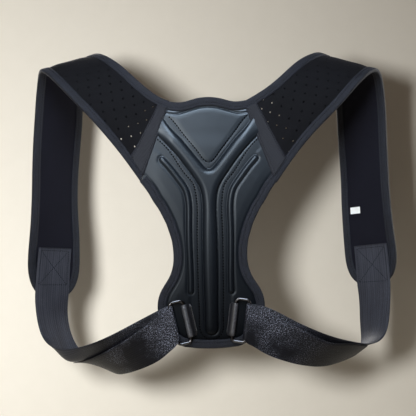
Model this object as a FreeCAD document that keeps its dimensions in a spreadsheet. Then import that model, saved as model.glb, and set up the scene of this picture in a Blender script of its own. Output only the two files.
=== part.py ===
import FreeCAD, Part
import Sketcher
import math
import os

# Back brace: a moulded back panel with a padded strap sewn to each shoulder seam.
# Each strap passes over the shoulder to the chest. Elastic webbing runs from its end, under
# the arm, to a rectangular ring on the lower wing of the panel and back on itself.
# Frame: +Z up, +X to the wearer's right, +Y from the outer face towards the wearer.
# Origin: on the lining's face (y = 0), on the spine line, at mid height of the panel.
# On the panel, "front" is the outer side (-Y), and depths are measured that way from y = 0.

Vector = FreeCAD.Vector
doc = FreeCAD.newDocument("BackBrace")

SIZES = {
    # panel layers: thicknesses, depths of their faces, insets from the panel's outline
    "lining_thick": 1.2, "lining_inset": 12.6, "foam_front": 4.2, "foam_back": 1.4,
    "foam_inset": 1.4, "plate_thick": 1.5, "plate_front": 4.1, "plate_inset": 2.2,
    "recess_inset": 1.8, "recess_clear": 0.2, "recess_over": 0.5,
    # shell and its raised shapes, which start raised_sink inside it
    "shell_back": 4.4, "shell_thick": 1.6, "ridge_height": 4.0, "rib_height": 2.0,
    "rib_half_wide": 3.4, "vpad_height": 1.0, "raised_sink": 0.4, "ridge_chamfer": 1.2,
    # panel binding, and the inset of everything at the shoulder seams
    "binding_wide": 11.5, "binding_front": 7.0, "binding_back": 0.15, "tape_thick": 0.8,
    "binding_wall": 1.0, "seam_gap": 1.4,
    # ring keepers (radii round the bar) and rings
    "keeper_tall": 42.0, "keeper_inner": 2.35, "keeper_outer": 3.5, "wire_dia": 4.0,
    "ring_pitch": 18.0, "ring_inner": 51.0, "ring_corner": 5.0, "ring_depth": 11.0,
    # strap layers: offsets from the strap's middle surface, away from (out) or towards (in)
    # the wearer
    "pad_out": 1.9, "pad_in": 1.3, "lining_out": 1.45, "lining_in": 2.05,
    "band_out": 2.05, "band_out_top": 2.75, "band_in": 2.2, "band_in_top": 2.9,
    "band_leg": 10.5, "band_wall": 1.0, "join_wide": 17.0, "round_end": 54.0,
    # webbing: split_gap is each way from the fold line, the starts are along the tail
    "web_thick": 1.4, "split_gap": 3.0, "slide_gap": 7.0, "slide_start": 50.0,
    "hook_start": 112.0, "bar_wrap": 3.3, "bar_grip": 46.8,
    "patch_size": 46.0, "label_wide": 9.8, "label_tall": 13.0,
}
sheet = doc.addObject("Spreadsheet::Sheet", "Sizes")
for row, (name, value) in enumerate(SIZES.items(), start=1):
    sheet.set("A%d" % row, name)
    sheet.set("B%d" % row, str(value))
    sheet.setAlias("B%d" % row, name)
doc.recompute()

# Straps: distance along, then the neck-side edge and the arm-side edge (x, y, z)
LEFT_PAD = [
    (0, -50, -3, 158.6, -89.5, -3, 55.5),
    (23.8, -64.1, -3, 165, -111.9, -2.8, 87.7),
    (47.7, -79.7, -1.8, 176.7, -133.6, -4.6, 115.5),
    (71.5, -96.7, 2.2, 192.4, -153.6, -7, 138.9),
    (95.3, -113.6, 10.8, 207.9, -172.7, -7.5, 159),
    (119.2, -129.2, 24, 219.2, -190.1, -3.5, 178),
    (143, -142, 40.4, 225.5, -205.6, 5.7, 193.9),
    (166.8, -152.3, 57.5, 225.9, -217.2, 18.8, 202.7),
    (190.7, -161.2, 73.6, 215.7, -223.3, 32.9, 200.3),
    (214.5, -168.1, 86.5, 195.8, -226.9, 44, 187.7),
    (238.3, -172.5, 94.9, 170.1, -230, 50.3, 168.4),
    (262.2, -174.7, 99.2, 142.3, -232.2, 52.5, 145.2),
    (286, -177.5, 100.5, 114.8, -234.1, 52, 120.4),
    (309.8, -180.1, 100.1, 88.3, -235.4, 50.2, 95),
    (333.7, -182.1, 98.5, 62.9, -236.2, 47.9, 69.5),
    (357.5, -182.9, 96, 38.3, -236.7, 45.8, 44.4),
    (381.3, -182.3, 92.6, 14.3, -237.8, 44.2, 20),
    (405.2, -180.7, 89, -9.2, -239.5, 43.3, -3.9),
    (429, -179.9, 85.5, -32.5, -242, 43, -27.5),
    (452.8, -179.9, 82.5, -55.5, -243.8, 42.9, -51.1),
    (476.7, -180.1, 80.2, -78.3, -244.5, 42.6, -74.9),
    (500.5, -180.5, 78.5, -101.2, -244.9, 41.9, -98.6),
]
RIGHT_PAD = [
    (0, 47.2, -3, 156.4, 88.2, -3, 51),
    (24.3, 64.8, -3, 166.2, 111.9, -2.8, 84),
    (48.6, 82.9, -2, 178.3, 135.3, -4.4, 112),
    (72.8, 100.6, 1.8, 193.4, 157.7, -6.8, 134.7),
    (97.1, 117.7, 10.8, 208, 177.3, -7.4, 155),
    (121.4, 134.4, 25.4, 217.8, 194.3, -3.5, 174.2),
    (145.7, 149, 43.6, 222.4, 210, 6, 189.2),
    (170, 160.7, 62.6, 217.7, 222.9, 20.1, 196.1),
    (194.2, 169.4, 78.7, 201.6, 231.3, 35.2, 190.7),
    (218.5, 175.4, 89.5, 177.4, 236.2, 46.6, 174),
    (242.8, 178.7, 95.1, 149.8, 238.8, 52.1, 150.8),
    (267.1, 180.1, 97, 122.2, 239.7, 53.1, 125.3),
    (291.4, 181.2, 96.8, 95.9, 239.9, 51.7, 100),
    (315.7, 182.4, 95.6, 71, 240.3, 49.5, 75.6),
    (339.9, 183.1, 93.9, 47.2, 240.7, 47.6, 52.3),
    (364.2, 183.1, 91.8, 24.4, 241.7, 46.2, 30),
    (388.5, 183.5, 89.5, 2, 243.3, 45.4, 8.4),
    (412.8, 184.2, 87.2, -19.9, 245.4, 44.9, -12.8),
    (437.1, 185.2, 85.1, -41.2, 247.9, 44.4, -34),
    (461.4, 186.4, 83.1, -62.1, 249.6, 43.6, -55.5),
    (485.6, 187.3, 81.1, -82.8, 250.7, 42.3, -77.1),
    (497.8, 187.6, 80.1, -93.1, 251, 41.5, -87.9),
]
# Webbing from strap to ring: distance along, then the edges that are lower and upper
# at the ring (x, y, z)
LEFT_WEB = [
    (0, -189.6, 73.7, -32.9, -229.2, 46.8, -29.6),
    (11.1, -190.3, 72.2, -43.8, -230.6, 46.2, -40.8),
    (22.2, -191.1, 70.8, -54.7, -231.7, 45.5, -51.9),
    (33.4, -191.7, 69.5, -65.6, -232.8, 44.9, -63.1),
    (44.5, -192.3, 68.3, -76.7, -233.7, 44.2, -74.2),
    (55.6, -192.9, 67.1, -87.6, -234.6, 43.5, -85.3),
    (66.7, -193.7, 66.7, -98, -235.1, 42.6, -97),
    (77.8, -194.8, 67.8, -107.3, -234.6, 41.7, -109.4),
    (89, -195.5, 69.5, -117, -233.2, 40.7, -121.5),
    (100.1, -195.2, 70.5, -127.8, -231.2, 39.3, -132.5),
    (111.2, -193.4, 70, -139.3, -228.2, 36.9, -142.1),
    (122.3, -190.2, 67.5, -150.2, -223.9, 33.2, -150.2),
    (133.4, -185.6, 63.4, -159.8, -218, 28, -156.4),
    (144.6, -179.8, 57.9, -167.6, -210.6, 21.7, -160.5),
    (155.7, -173.1, 51.4, -173.4, -202, 14.7, -162.5),
    (166.8, -165.5, 44.5, -177.6, -192.5, 7.8, -162.6),
    (177.9, -157.4, 37.5, -180.3, -182.5, 1.3, -161.2),
    (189, -148.8, 30.6, -181.9, -172.3, -4.4, -158.9),
    (200.2, -139.8, 24.1, -182.5, -161.9, -9.1, -155.8),
    (211.3, -130.4, 18.1, -182.2, -151.5, -12.8, -152.1),
    (222.4, -120.8, 12.5, -181.3, -141.1, -15.4, -147.8),
    (233.5, -111, 7.4, -179.6, -130.6, -16.9, -143.1),
    (244.6, -101.3, 2.9, -177.3, -120.1, -17.2, -138),
    (255.7, -91.6, -1.1, -174.3, -109.4, -16.6, -132.6),
    (266.9, -82.1, -4.4, -170.9, -98.6, -15.3, -127.2),
    (278, -72.8, -7.2, -166.9, -87.7, -13.6, -121.8),
    (289.1, -63.6, -9.2, -162.7, -76.9, -12, -116.5),
    (300.2, -54.2, -10, -158.3, -66.2, -10.5, -111.4),
    (311.3, -44.5, -9.3, -153.6, -55.9, -9.2, -106.7),
]
RIGHT_WEB = [
    (0, 196.5, 73, -36.7, 236.5, 46.9, -32.1),
    (10.8, 197.2, 72.1, -47.4, 237.5, 46.4, -43),
    (21.7, 197.9, 71.2, -58.1, 238.4, 45.8, -53.8),
    (32.5, 198.4, 70.2, -69, 239.1, 45.2, -64.6),
    (43.4, 198.8, 69.2, -79.7, 239.7, 44.3, -75.5),
    (54.2, 199.3, 68.6, -89.3, 240, 43.4, -87.5),
    (65, 200.2, 68.9, -96.8, 239.8, 42.8, -101.6),
    (75.9, 201.2, 70, -104.6, 239.1, 42.6, -115.5),
    (86.7, 202, 71.5, -114.4, 238.1, 42.5, -127.5),
    (97.5, 202.6, 73.7, -126.4, 236.7, 41.8, -137.7),
    (108.4, 203.1, 75.7, -139.2, 234.4, 40, -146.4),
    (119.2, 203.8, 76.6, -151.6, 230.6, 36.8, -153.9),
    (130.1, 204, 75.3, -163.2, 225.1, 32.4, -159.5),
    (140.9, 202.2, 71.3, -172.8, 218.1, 27.1, -162.8),
    (151.8, 196.6, 64.8, -179.2, 209.9, 21.4, -163.8),
    (162.6, 187.1, 56.8, -183.5, 201, 15.7, -163),
    (173.4, 176, 47.8, -186.4, 191.7, 10.2, -161.1),
    (184.3, 164.4, 38.1, -188.7, 182.2, 5.1, -158.7),
    (195.1, 153, 28.7, -189.6, 172.7, 0.5, -156),
    (205.9, 142.2, 20.3, -189.1, 163.1, -3.5, -153),
    (216.8, 131.8, 13.3, -187.4, 153.6, -6.8, -149.6),
    (227.6, 122.2, 8.1, -184.8, 144, -9.4, -145.8),
    (238.5, 113.1, 3.5, -182, 134.3, -11.3, -141.6),
    (249.3, 103.4, -0.8, -178.6, 124.6, -12.8, -137.2),
    (260.1, 93.8, -4.2, -174.6, 114.8, -13.8, -132.5),
    (271, 84.5, -6.7, -170.2, 104.8, -14.4, -127.3),
    (281.8, 75.5, -8.4, -165.4, 94.7, -14.5, -121.8),
    (292.7, 66.9, -9.7, -160.3, 84.2, -14.5, -116.1),
    (303.5, 58.6, -10.6, -155.7, 73, -14.1, -111),
    (314.3, 50.1, -10.9, -152.7, 61.3, -12.8, -107.6),
    (325.2, 40.9, -10.2, -153.1, 49.4, -10.2, -106.1),
]
# Free tails: distance from the ring, then the edges that are lower and upper at the ring
LEFT_TAIL = [
    (0, -43.4, -15.9, -156.6, -54.7, -15.9, -110),
    (10, -51.6, -14.4, -162.7, -63.6, -14.6, -116.2),
    (20, -58.6, -12, -169, -73.5, -14.5, -123.6),
    (30, -65.5, -9.4, -174.7, -84.1, -15.3, -131.1),
    (40, -72.9, -5.8, -179.6, -94.9, -15.7, -138.4),
    (50, -80.9, -1.7, -183.9, -105.5, -15.4, -145.3),
    (60, -89.2, 3.1, -187.8, -115.7, -13.8, -151.8),
    (70, -97.5, 8.9, -191.3, -125.5, -10.7, -157.8),
    (80, -105.5, 15.6, -194.5, -134.7, -5.9, -163.2),
    (90, -113.2, 23.3, -197.3, -143.2, 0.2, -167.9),
    (100, -120.4, 31.9, -199.4, -151.1, 7.1, -172),
    (110, -127.2, 41.2, -200.3, -158.3, 14.3, -175.4),
    (120, -133.9, 51, -199.3, -165.2, 21.2, -178.3),
    (130, -140.8, 60.6, -196.1, -171.9, 27.6, -180.7),
    (140, -148, 69.3, -190.8, -178.5, 33.4, -182.8),
    (150, -155.9, 76.8, -183.4, -185.1, 38.6, -184.4),
]
RIGHT_TAIL = [
    (0, 40.4, -16.8, -154.3, 49.2, -16.8, -106.4),
    (8.7, 47.3, -15.5, -157.2, 57.9, -16.3, -110.6),
    (18.7, 54.4, -13.9, -161.1, 68.4, -16, -115.5),
    (28.7, 62, -13.1, -166.1, 78.6, -16, -121.5),
    (38.7, 70.3, -11.7, -171, 88.8, -16.2, -127.1),
    (48.7, 79.4, -10, -175.3, 99.1, -16.8, -131.9),
    (58.7, 88.6, -8, -178.9, 109.5, -17.8, -136.6),
    (68.7, 97.3, -5.5, -182, 120, -18.6, -141.6),
    (78.7, 105.2, -2.3, -184.7, 130.7, -18.3, -147.3),
    (88.7, 112.7, 1.7, -186.9, 141.3, -16.2, -153),
    (98.7, 121.1, 6.4, -188.9, 151.3, -11.9, -157.4),
    (108.7, 131.4, 12.7, -191, 160.4, -6.6, -159.7),
    (118.7, 143.8, 21.1, -192.4, 169, -1.8, -160.4),
    (128.7, 157.5, 31.1, -192, 178, 2.1, -160.7),
    (138.7, 170.4, 41.2, -189.9, 187.3, 6, -161.9),
    (148.7, 181, 50.2, -187.7, 195.9, 11.1, -164.1),
    (158.7, 191, 58.4, -184.7, 204.5, 16.5, -165.7),
]

# Per side: direction of outboard along X, the tables above, where the strap's parts start
# along it, the low and high points of the fold line at the wing, and the ring: its inner
# bar's middle (x, z), its lean in degrees about Y and its turn in degrees about the bar
SIDES = {
    "left": {"sign": -1, "pad": LEFT_PAD, "web": LEFT_WEB, "tail": LEFT_TAIL, "start": 1.8,
             "fold": (Vector(-72, -12, -140), Vector(-80, -3.4, 118)),
             "ring": {"x": -31.7, "z": -126.5, "lean": -12.0, "turn": 5.0}},
    "right": {"sign": 1, "pad": RIGHT_PAD, "web": RIGHT_WEB, "tail": RIGHT_TAIL, "start": 5.0,
              "fold": (Vector(74, -12.3, -140), Vector(79, -3.4, 118)),
              "ring": {"x": 28.9, "z": -125.5, "lean": 7.5, "turn": 8.0}},
}

# Panel outline and the shapes on it, as (x, z); outlines that cross the spine give x >= 0
NECK = [(0, 162.9), (7, 162.5), (13.6, 161.6), (22.8, 159.2), (29.3, 157.4), (38.4, 156.5),
        (44, 157.0), (50.5, 158.0)]
SIDE = [(88.7, 53.0), (78.0, 38), (72.5, 28), (65.9, 18), (60.8, 8), (56.2, -2), (52.9, -12),
        (50, -22), (48.5, -32), (47.9, -42), (48.4, -52), (50.6, -62), (55.0, -72),
        (61.4, -82), (66.6, -92), (69.2, -102), (69.6, -112), (68.3, -122), (65.4, -132),
        (60.6, -142), (54.0, -150), (46.0, -155.6), (36.0, -160.5)]
HEM = [(36.0, -160.5), (29, -161.6), (22, -162.4), (12, -163.1), (0, -163.4)]
# Y ridge: upper edge of an arm, then its lower edge and the stem's side
Y_IN = [(1.0, 69.4), (5.5, 71.8), (11.2, 78.6), (23.9, 94.4), (36.6, 110.2), (49.3, 123.4),
        (56.0, 133.0)]
Y_OUT = [(66.0, 115.0), (56, 104.5), (49, 97), (36, 81.7), (24.7, 66), (16.5, 54),
         (11.5, 43.5), (9.2, 32), (8.8, 0), (9.3, -36), (9, -87.5), (8.7, -126.3)]
# V-shaped pad between the arms: top edge and lower edge
V_TOP = [(0.0, 149.5), (10, 149.2), (23, 145.6), (33.4, 142.5), (42.5, 140.7), (50.8, 141.6)]
V_LOW = [(50.8, 141.6), (46.5, 133.7), (36.4, 120.5), (23.7, 104.1), (11.1, 87.7),
         (3.9, 79.8), (0.0, 78.4)]
# Middle line of a rib beside the ridge
RIB = [(58.0, 80.5), (51, 72), (39, 56), (30.7, 43), (27.6, 31), (27, 0), (26.5, -48),
       (26, -75), (26.2, -86)]

NODES = []


def size(name):
    return float(sheet.get(name))


def camel(label):
    return "".join(word.capitalize() for word in label.split("_"))


def keep(obj, label):
    """Label an object and list it for export."""
    obj.Label = label
    NODES.append(obj)


# ---------------------------------------------------------------- flat polylines of (x, z)
def distance(first, second):
    return math.hypot(second[0] - first[0], second[1] - first[1])


def mirror(points):
    return [(-x, z) for x, z in reversed(points)]


def dense(points, step=3.0):
    """Points every few millimetres along the smooth curve through the given ones."""
    if len(points) == 2:
        (x, z), (end_x, end_z) = points
        count = max(2, int(distance(*points) / step))
        return [(x + (end_x - x) * i / count, z + (end_z - z) * i / count)
                for i in range(count + 1)]
    curve = Part.BSplineCurve()
    curve.interpolate([Vector(x, z, 0) for x, z in points])
    count = max(4, int(curve.length() / step))
    return [(point.x, point.y) for point in curve.discretize(count + 1)]


def shift(points, offset):
    """The polyline moved by offset to its left, as seen from outside."""
    moved = []
    for i, (x, z) in enumerate(points):
        before, after = points[max(i - 1, 0)], points[min(i + 1, len(points) - 1)]
        step_x, step_z = after[0] - before[0], after[1] - before[1]
        length = math.hypot(step_x, step_z)
        moved.append((x - offset * step_z / length, z + offset * step_x / length))
    return moved


def beyond(end, inner, extra):
    """The point extra past end, on the line from inner."""
    length = distance(inner, end)
    return (end[0] + (end[0] - inner[0]) * extra / length,
            end[1] + (end[1] - inner[1]) * extra / length)


def stretch(points, extra):
    """The polyline with both ends drawn out by extra."""
    return ([beyond(points[0], points[1], extra)] + points
            + [beyond(points[-1], points[-2], extra)])


def trim(points, cut):
    """The polyline with cut taken off each end (added when cut is negative)."""
    if cut < 0:
        longer = stretch(points, -cut)
        return longer[:1] + points[1:-1] + longer[-1:]
    kept = list(points)
    for _ in range(2):
        left = cut
        while left > 0:
            length = distance(kept[0], kept[1])
            if length > left + 0.05:
                kept[0] = beyond(kept[0], kept[1], -left)
                left = 0
            else:
                kept.pop(0)
                left -= length
        kept.reverse()
    return kept


def cross(first, second):
    """Where the end of the first polyline meets the second: both indices and the point."""
    slack = 1e-9
    for i in range(len(first) - 1, 0, -1):
        for j in range(len(second) - 1):
            (ax, az), (bx, bz) = first[i - 1], first[i]
            (cx, cz), (dx, dz) = second[j], second[j + 1]
            denominator = (bx - ax) * (dz - cz) - (bz - az) * (dx - cx)
            if abs(denominator) < 1e-12:
                continue
            along_first = ((cx - ax) * (dz - cz) - (cz - az) * (dx - cx)) / denominator
            along_second = ((cx - ax) * (bz - az) - (cz - az) * (bx - ax)) / denominator
            if all(-slack <= along <= 1 + slack for along in (along_first, along_second)):
                return i, j, (ax + along_first * (bx - ax), az + along_first * (bz - az))
    raise RuntimeError("edges do not meet")


# The panel's edges, clockwise seen from outside, so that inwards is to their right
EDGES = {
    "neck": dense(mirror(NECK)[:-1] + NECK),
    "seam_r": dense([NECK[-1], SIDE[0]]),
    "side_r": dense(SIDE),
    "hem": dense(HEM[:-1] + mirror(HEM)),
    "side_l": dense(mirror(SIDE)),
    "seam_l": dense([mirror(SIDE)[-1], mirror(NECK)[0]]),
}


def panel_loop(inset):
    """The edges moved inwards by inset (the shoulder seams by seam_gap), trimmed to meet."""
    reach = 70.0
    lines = []
    for name, points in EDGES.items():
        inwards = size("seam_gap") if name.startswith("seam") else inset
        lines.append(stretch(shift(points, -inwards), reach))
    hits = [cross(line, lines[(i + 1) % len(lines)]) for i, line in enumerate(lines)]
    loop = []
    for i, line in enumerate(lines):
        end, _, last_corner = hits[i]
        _, start, first_corner = hits[i - 1]
        loop.append([first_corner] + line[start + 1:end] + [last_corner])
    return loop


def y_loop(inset):
    """The Y as a closed loop, its edges moved inwards by inset."""
    crotch_drop = 0.6
    upper = shift(dense(Y_IN), -inset)
    lower = shift(dense(Y_OUT), -inset)
    tip_high, tip_low = upper[-1], lower[0]
    length = distance(tip_high, tip_low)
    move_x = (tip_low[1] - tip_high[1]) / length * inset
    move_z = -(tip_low[0] - tip_high[0]) / length * inset
    upper = upper[1:-1] + [(tip_high[0] + move_x, tip_high[1] + move_z)]
    crotch = (0.0, shift(dense(Y_IN), -inset)[0][1] - crotch_drop)
    lower = ([(tip_low[0] + move_x, tip_low[1] + move_z)] + lower[1:-1]
             + [(lower[-1][0], lower[-1][1] + inset)])
    left_lower, left_upper = mirror(lower), mirror(upper)
    return [[crotch] + upper, [upper[-1], lower[0]], lower, [lower[-1], left_lower[0]],
            left_lower, [left_lower[-1], left_upper[0]], left_upper + [crotch]]


def strip_loop(one, two):
    """Closed loop from two polylines that run the same way."""
    back = list(reversed(two))
    return [one, [one[-1], back[0]], back, [back[-1], one[0]]]


def rib_loop(sign):
    one = shift(dense(RIB), size("rib_half_wide"))
    two = shift(dense(RIB), -size("rib_half_wide"))
    if sign > 0:
        return strip_loop(one, two)
    return strip_loop(mirror(one), list(reversed(mirror(list(reversed(two))))))


# ---------------------------------------------------------------- sketches and features
def draw(sketch, segments):
    """Closed profile from point lists: two points make a line, more make a spline."""
    closest, most = 0.8, 26
    for segment in segments:
        points = [segment[0]]
        for point in segment[1:-1]:
            if min(distance(points[-1], point), distance(segment[-1], point)) > closest:
                points.append(point)
        points.append(segment[-1])
        if len(points) > most:
            points = [points[round(i * (len(points) - 1) / (most - 1))] for i in range(most)]
        vectors = [Vector(x, z, 0) for x, z in points]
        if len(vectors) == 2:
            sketch.addGeometry(Part.LineSegment(*vectors), False)
        else:
            curve = Part.BSplineCurve()
            curve.interpolate(vectors)
            sketch.addGeometry(curve, False)


def sketch_on(body, name, role):
    """Empty sketch on one of the body's origin planes."""
    sketch = body.newObject("Sketcher::SketchObject", name)
    plane = [part for part in body.Origin.OriginFeatures if part.Role == role][0]
    sketch.AttachmentSupport = [(plane, "")]
    sketch.MapMode = "FlatFace"
    return sketch


def panel_sketch(body, name, segments, depth):
    """Sketch parallel to the panel, at the depth given by an expression."""
    sketch = sketch_on(body, name, "XZ_Plane")
    sketch.setExpression("AttachmentOffset.Base.z", depth)
    draw(sketch, segments)
    return sketch


def pad(body, sketch, name, length):
    feature = body.newObject("PartDesign::Pad", name)
    feature.Profile = sketch
    feature.setExpression("Length", length)
    return feature


def pocket(body, sketch, name, length):
    """Cuts forwards from the sketch, away from the wearer."""
    doc.recompute()
    before = body.Shape.Volume
    feature = body.newObject("PartDesign::Pocket", name)
    feature.Profile = sketch
    feature.setExpression("Length", length)
    feature.Reversed = True
    doc.recompute()
    if body.Shape.Volume >= before - 1:
        raise RuntimeError("pocket cut nothing: " + name)


# ---------------------------------------------------------------- panel
def build_lining():
    """Flat layer that lies on the wearer's back."""
    body = doc.addObject("PartDesign::Body", "PanelLining")
    outline = panel_sketch(body, "LiningOutline", panel_loop(size("lining_inset")), "0")
    pad(body, outline, "LiningPad", "Sizes.lining_thick")
    keep(body, "panel_lining")


def build_plate():
    """Stiffener under the Y ridge."""
    body = doc.addObject("PartDesign::Body", "SupportPlate")
    outline = panel_sketch(body, "PlateOutline", y_loop(size("plate_inset")),
                           "Sizes.plate_front - Sizes.plate_thick")
    pad(body, outline, "PlatePad", "Sizes.plate_thick")
    keep(body, "y_support_plate")


def build_foam():
    """Foam core with the recess the stiffener lies in, open to the front."""
    body = doc.addObject("PartDesign::Body", "PanelFoam")
    outline = panel_sketch(body, "FoamOutline", panel_loop(size("foam_inset")),
                           "Sizes.foam_back")
    pad(body, outline, "FoamPad", "Sizes.foam_front - Sizes.foam_back")
    recess = panel_sketch(body, "PlatePocket", y_loop(size("recess_inset")),
                          "Sizes.plate_front - Sizes.plate_thick - Sizes.recess_clear")
    pocket(body, recess, "PlateRecess", "Sizes.plate_thick + Sizes.recess_over")
    keep(body, "panel_foam")


def build_shell():
    """Moulded outer skin with the Y ridge, the V pad and two ribs raised on it."""
    body = doc.addObject("PartDesign::Body", "PanelShell")
    outline = panel_sketch(body, "ShellOutline", panel_loop(size("foam_inset")),
                           "Sizes.shell_back")
    pad(body, outline, "ShellPad", "Sizes.shell_thick")
    v_loop = [mirror(V_TOP)[:-1] + V_TOP, V_LOW, mirror(V_LOW)]
    # outline name, pad name, loop, alias of the height above the shell
    raised = [
        ("RidgeOutline", "RidgePad", y_loop(0.0), "ridge_height"),
        ("VPadOutline", "VPad", v_loop, "vpad_height"),
        ("RightRibOutline", "RightRib", rib_loop(1), "rib_height"),
        ("LeftRibOutline", "LeftRib", rib_loop(-1), "rib_height"),
    ]
    for outline_name, pad_name, loop, height in raised:
        outline = panel_sketch(body, outline_name, loop, "Sizes.shell_back + Sizes.raised_sink")
        last_pad = pad(body, outline, pad_name,
                       "Sizes.shell_thick + Sizes.%s - Sizes.raised_sink" % height)
    doc.recompute()

    # Bevel on the long edges of the ridge's front face
    shortest = 30
    top = -(size("shell_back") + size("shell_thick") + size("ridge_height"))
    edges = ["Edge%d" % (i + 1) for i, edge in enumerate(body.Shape.Edges)
             if abs(edge.BoundBox.YMin - top) < 0.01 and abs(edge.BoundBox.YMax - top) < 0.01
             and edge.Length > shortest]
    chamfer = body.newObject("PartDesign::Chamfer", "RidgeShoulder")
    chamfer.Base = (body.Tip, edges)
    chamfer.Size = size("ridge_chamfer")
    doc.recompute()
    # Guards against a bevel that fails on the splined ridge: the shell then ends at its ribs
    if "Invalid" in chamfer.State or "Error" in chamfer.State or not body.Shape.isValid():
        body.removeObject(chamfer)
        doc.removeObject("RidgeShoulder")
        body.Tip = last_pad
        doc.recompute()
    keep(body, "panel_shell")


def build_binding(edge, label):
    """Tape folded round one edge of the panel: a channel with a front leg, a wall and a
    back leg. Neighbouring bands meet at mitred corners with a small gap between them."""
    body = doc.addObject("PartDesign::Body", camel(label))
    index = list(EDGES).index(edge)
    wide = size("binding_wide")
    end_gap, slot_overrun, slot_over_inside = 0.25, 2.5, 1.5

    def region(outer, inner, cut):
        return strip_loop(trim(panel_loop(outer)[index], cut),
                          trim(panel_loop(inner)[index], cut))

    outline = panel_sketch(body, label + "_outline", region(0.0, wide, end_gap),
                           "Sizes.binding_back")
    pad(body, outline, label + "_pad", "Sizes.binding_front - Sizes.binding_back")
    slot_region = region(size("binding_wall"), wide + slot_over_inside, -slot_overrun)
    slot = panel_sketch(body, label + "_slot", slot_region,
                        "Sizes.binding_back + Sizes.tape_thick")
    pocket(body, slot, label + "_fold",
           "Sizes.binding_front - Sizes.binding_back - 2 * Sizes.tape_thick")
    keep(body, label)


# ---------------------------------------------------------------- rings and their keepers
TAB_END = 22.0      # distance of the keeper tab's end from the spine line
TAB_FRONT = 8.9     # depths of the tab's faces
TAB_BACK = 6.35
TAB_BEND = 4.2      # from the bar to where the tab's back face becomes flat
TAB_LEAVES = 60     # degrees of wrap past the bar's front, where the tab's front leaves it


def ring_frame(side):
    """Middle of the inner bar, its direction, and outboard before and after the turn."""
    ring, sign = side["ring"], side["sign"]
    lean = math.radians(ring["lean"])
    up = Vector(math.sin(lean), 0, math.cos(lean))
    flat = Vector(up.z * sign, 0, -up.x * sign)
    turned = FreeCAD.Rotation(up, sign * -ring["turn"]).multVec(flat)
    return Vector(ring["x"], -size("ring_depth"), ring["z"]), up, flat, turned


def upright_placement(base, up, out):
    """Local z along up, local x along out."""
    return FreeCAD.Placement(base, FreeCAD.Rotation(out, up.cross(out), up, "ZXY"))


def build_ring(name, side):
    """Wire rectangle with round corners; local x runs from inner to outer bar."""
    middle, up, _, out = ring_frame(side)
    pitch, wire, corner = size("ring_pitch"), size("wire_dia"), size("ring_corner")
    high = (size("ring_inner") + wire) / 2
    inset = corner * (1 - math.sqrt(0.5))
    body = doc.addObject("PartDesign::Body", name.capitalize() + "Ring")
    path = sketch_on(body, name + "_ring_path", "XZ_Plane")
    stops = [(0, -high + corner), (0, high - corner), (corner, high), (pitch - corner, high),
             (pitch, high - corner), (pitch, -high + corner), (pitch - corner, -high),
             (corner, -high)]
    bends = [(inset, high - inset), (pitch - inset, high - inset),
             (pitch - inset, -high + inset), (inset, -high + inset)]
    for i, bend in enumerate(bends):
        start, middle_stop, end = [Vector(*stops[(2 * i + j) % 8], 0) for j in range(3)]
        path.addGeometry(Part.LineSegment(start, middle_stop), False)
        path.addGeometry(Part.Arc(middle_stop, Vector(*bend, 0), end), False)
    section = sketch_on(body, name + "_ring_wire", "XY_Plane")
    section.addGeometry(Part.Circle(Vector(0, 0, 0), Vector(0, 0, 1), wire / 2), False)
    section.addConstraint(Sketcher.Constraint("Coincident", 0, 3, -1, 1))
    section.addConstraint(Sketcher.Constraint("Diameter", 0, wire))
    section.setExpression("Constraints[1]", "Sizes.wire_dia")
    pipe = body.newObject("PartDesign::AdditivePipe", name + "_ring_pipe")
    pipe.Profile = section
    pipe.Spine = (path, [])
    doc.recompute()
    body.Placement = upright_placement(middle, up, out)
    keep(body, name + "_adjuster_ring")


def build_keeper(name, side):
    """Tab folded round the ring's inner bar and sewn to the panel; local x is outboard."""
    middle, up, flat, _ = ring_frame(side)
    outer, depth = size("keeper_outer"), size("ring_depth")
    body = doc.addObject("PartDesign::Body", name.capitalize() + "Keeper")
    sketch = sketch_on(body, name + "_keeper_profile", "XY_Plane")
    sketch.setExpression("AttachmentOffset.Base.z", "-Sizes.keeper_tall / 2")

    def place(x, y):
        # y is towards the wearer, which is local -y on the left
        return Vector(x, side["sign"] * y, 0)

    front, back = depth - TAB_FRONT, depth - TAB_BACK
    tab_end = TAB_END - abs(side["ring"]["x"])
    angle = math.radians(TAB_LEAVES)
    leave_x, leave_y = -outer * math.sin(angle), -outer * math.cos(angle)
    meet_x = leave_x - (front - leave_y) * math.cos(angle) / math.sin(angle)
    sketch.addGeometry(Part.Arc(place(leave_x, leave_y), place(outer, 0), place(0, outer)),
                       False)
    corners = [(0, outer), (-TAB_BEND, back), (tab_end, back), (tab_end, front),
               (meet_x, front), (leave_x, leave_y)]
    for start, end in zip(corners, corners[1:]):
        sketch.addGeometry(Part.LineSegment(place(*start), place(*end)), False)
    sketch.addGeometry(Part.Circle(Vector(0, 0, 0), Vector(0, 0, 1), size("keeper_inner")),
                       False)
    pad(body, sketch, name + "_keeper_pad", "Sizes.keeper_tall")
    doc.recompute()
    body.Placement = upright_placement(middle, up, flat)
    keep(body, name + "_ring_keeper")


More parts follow.
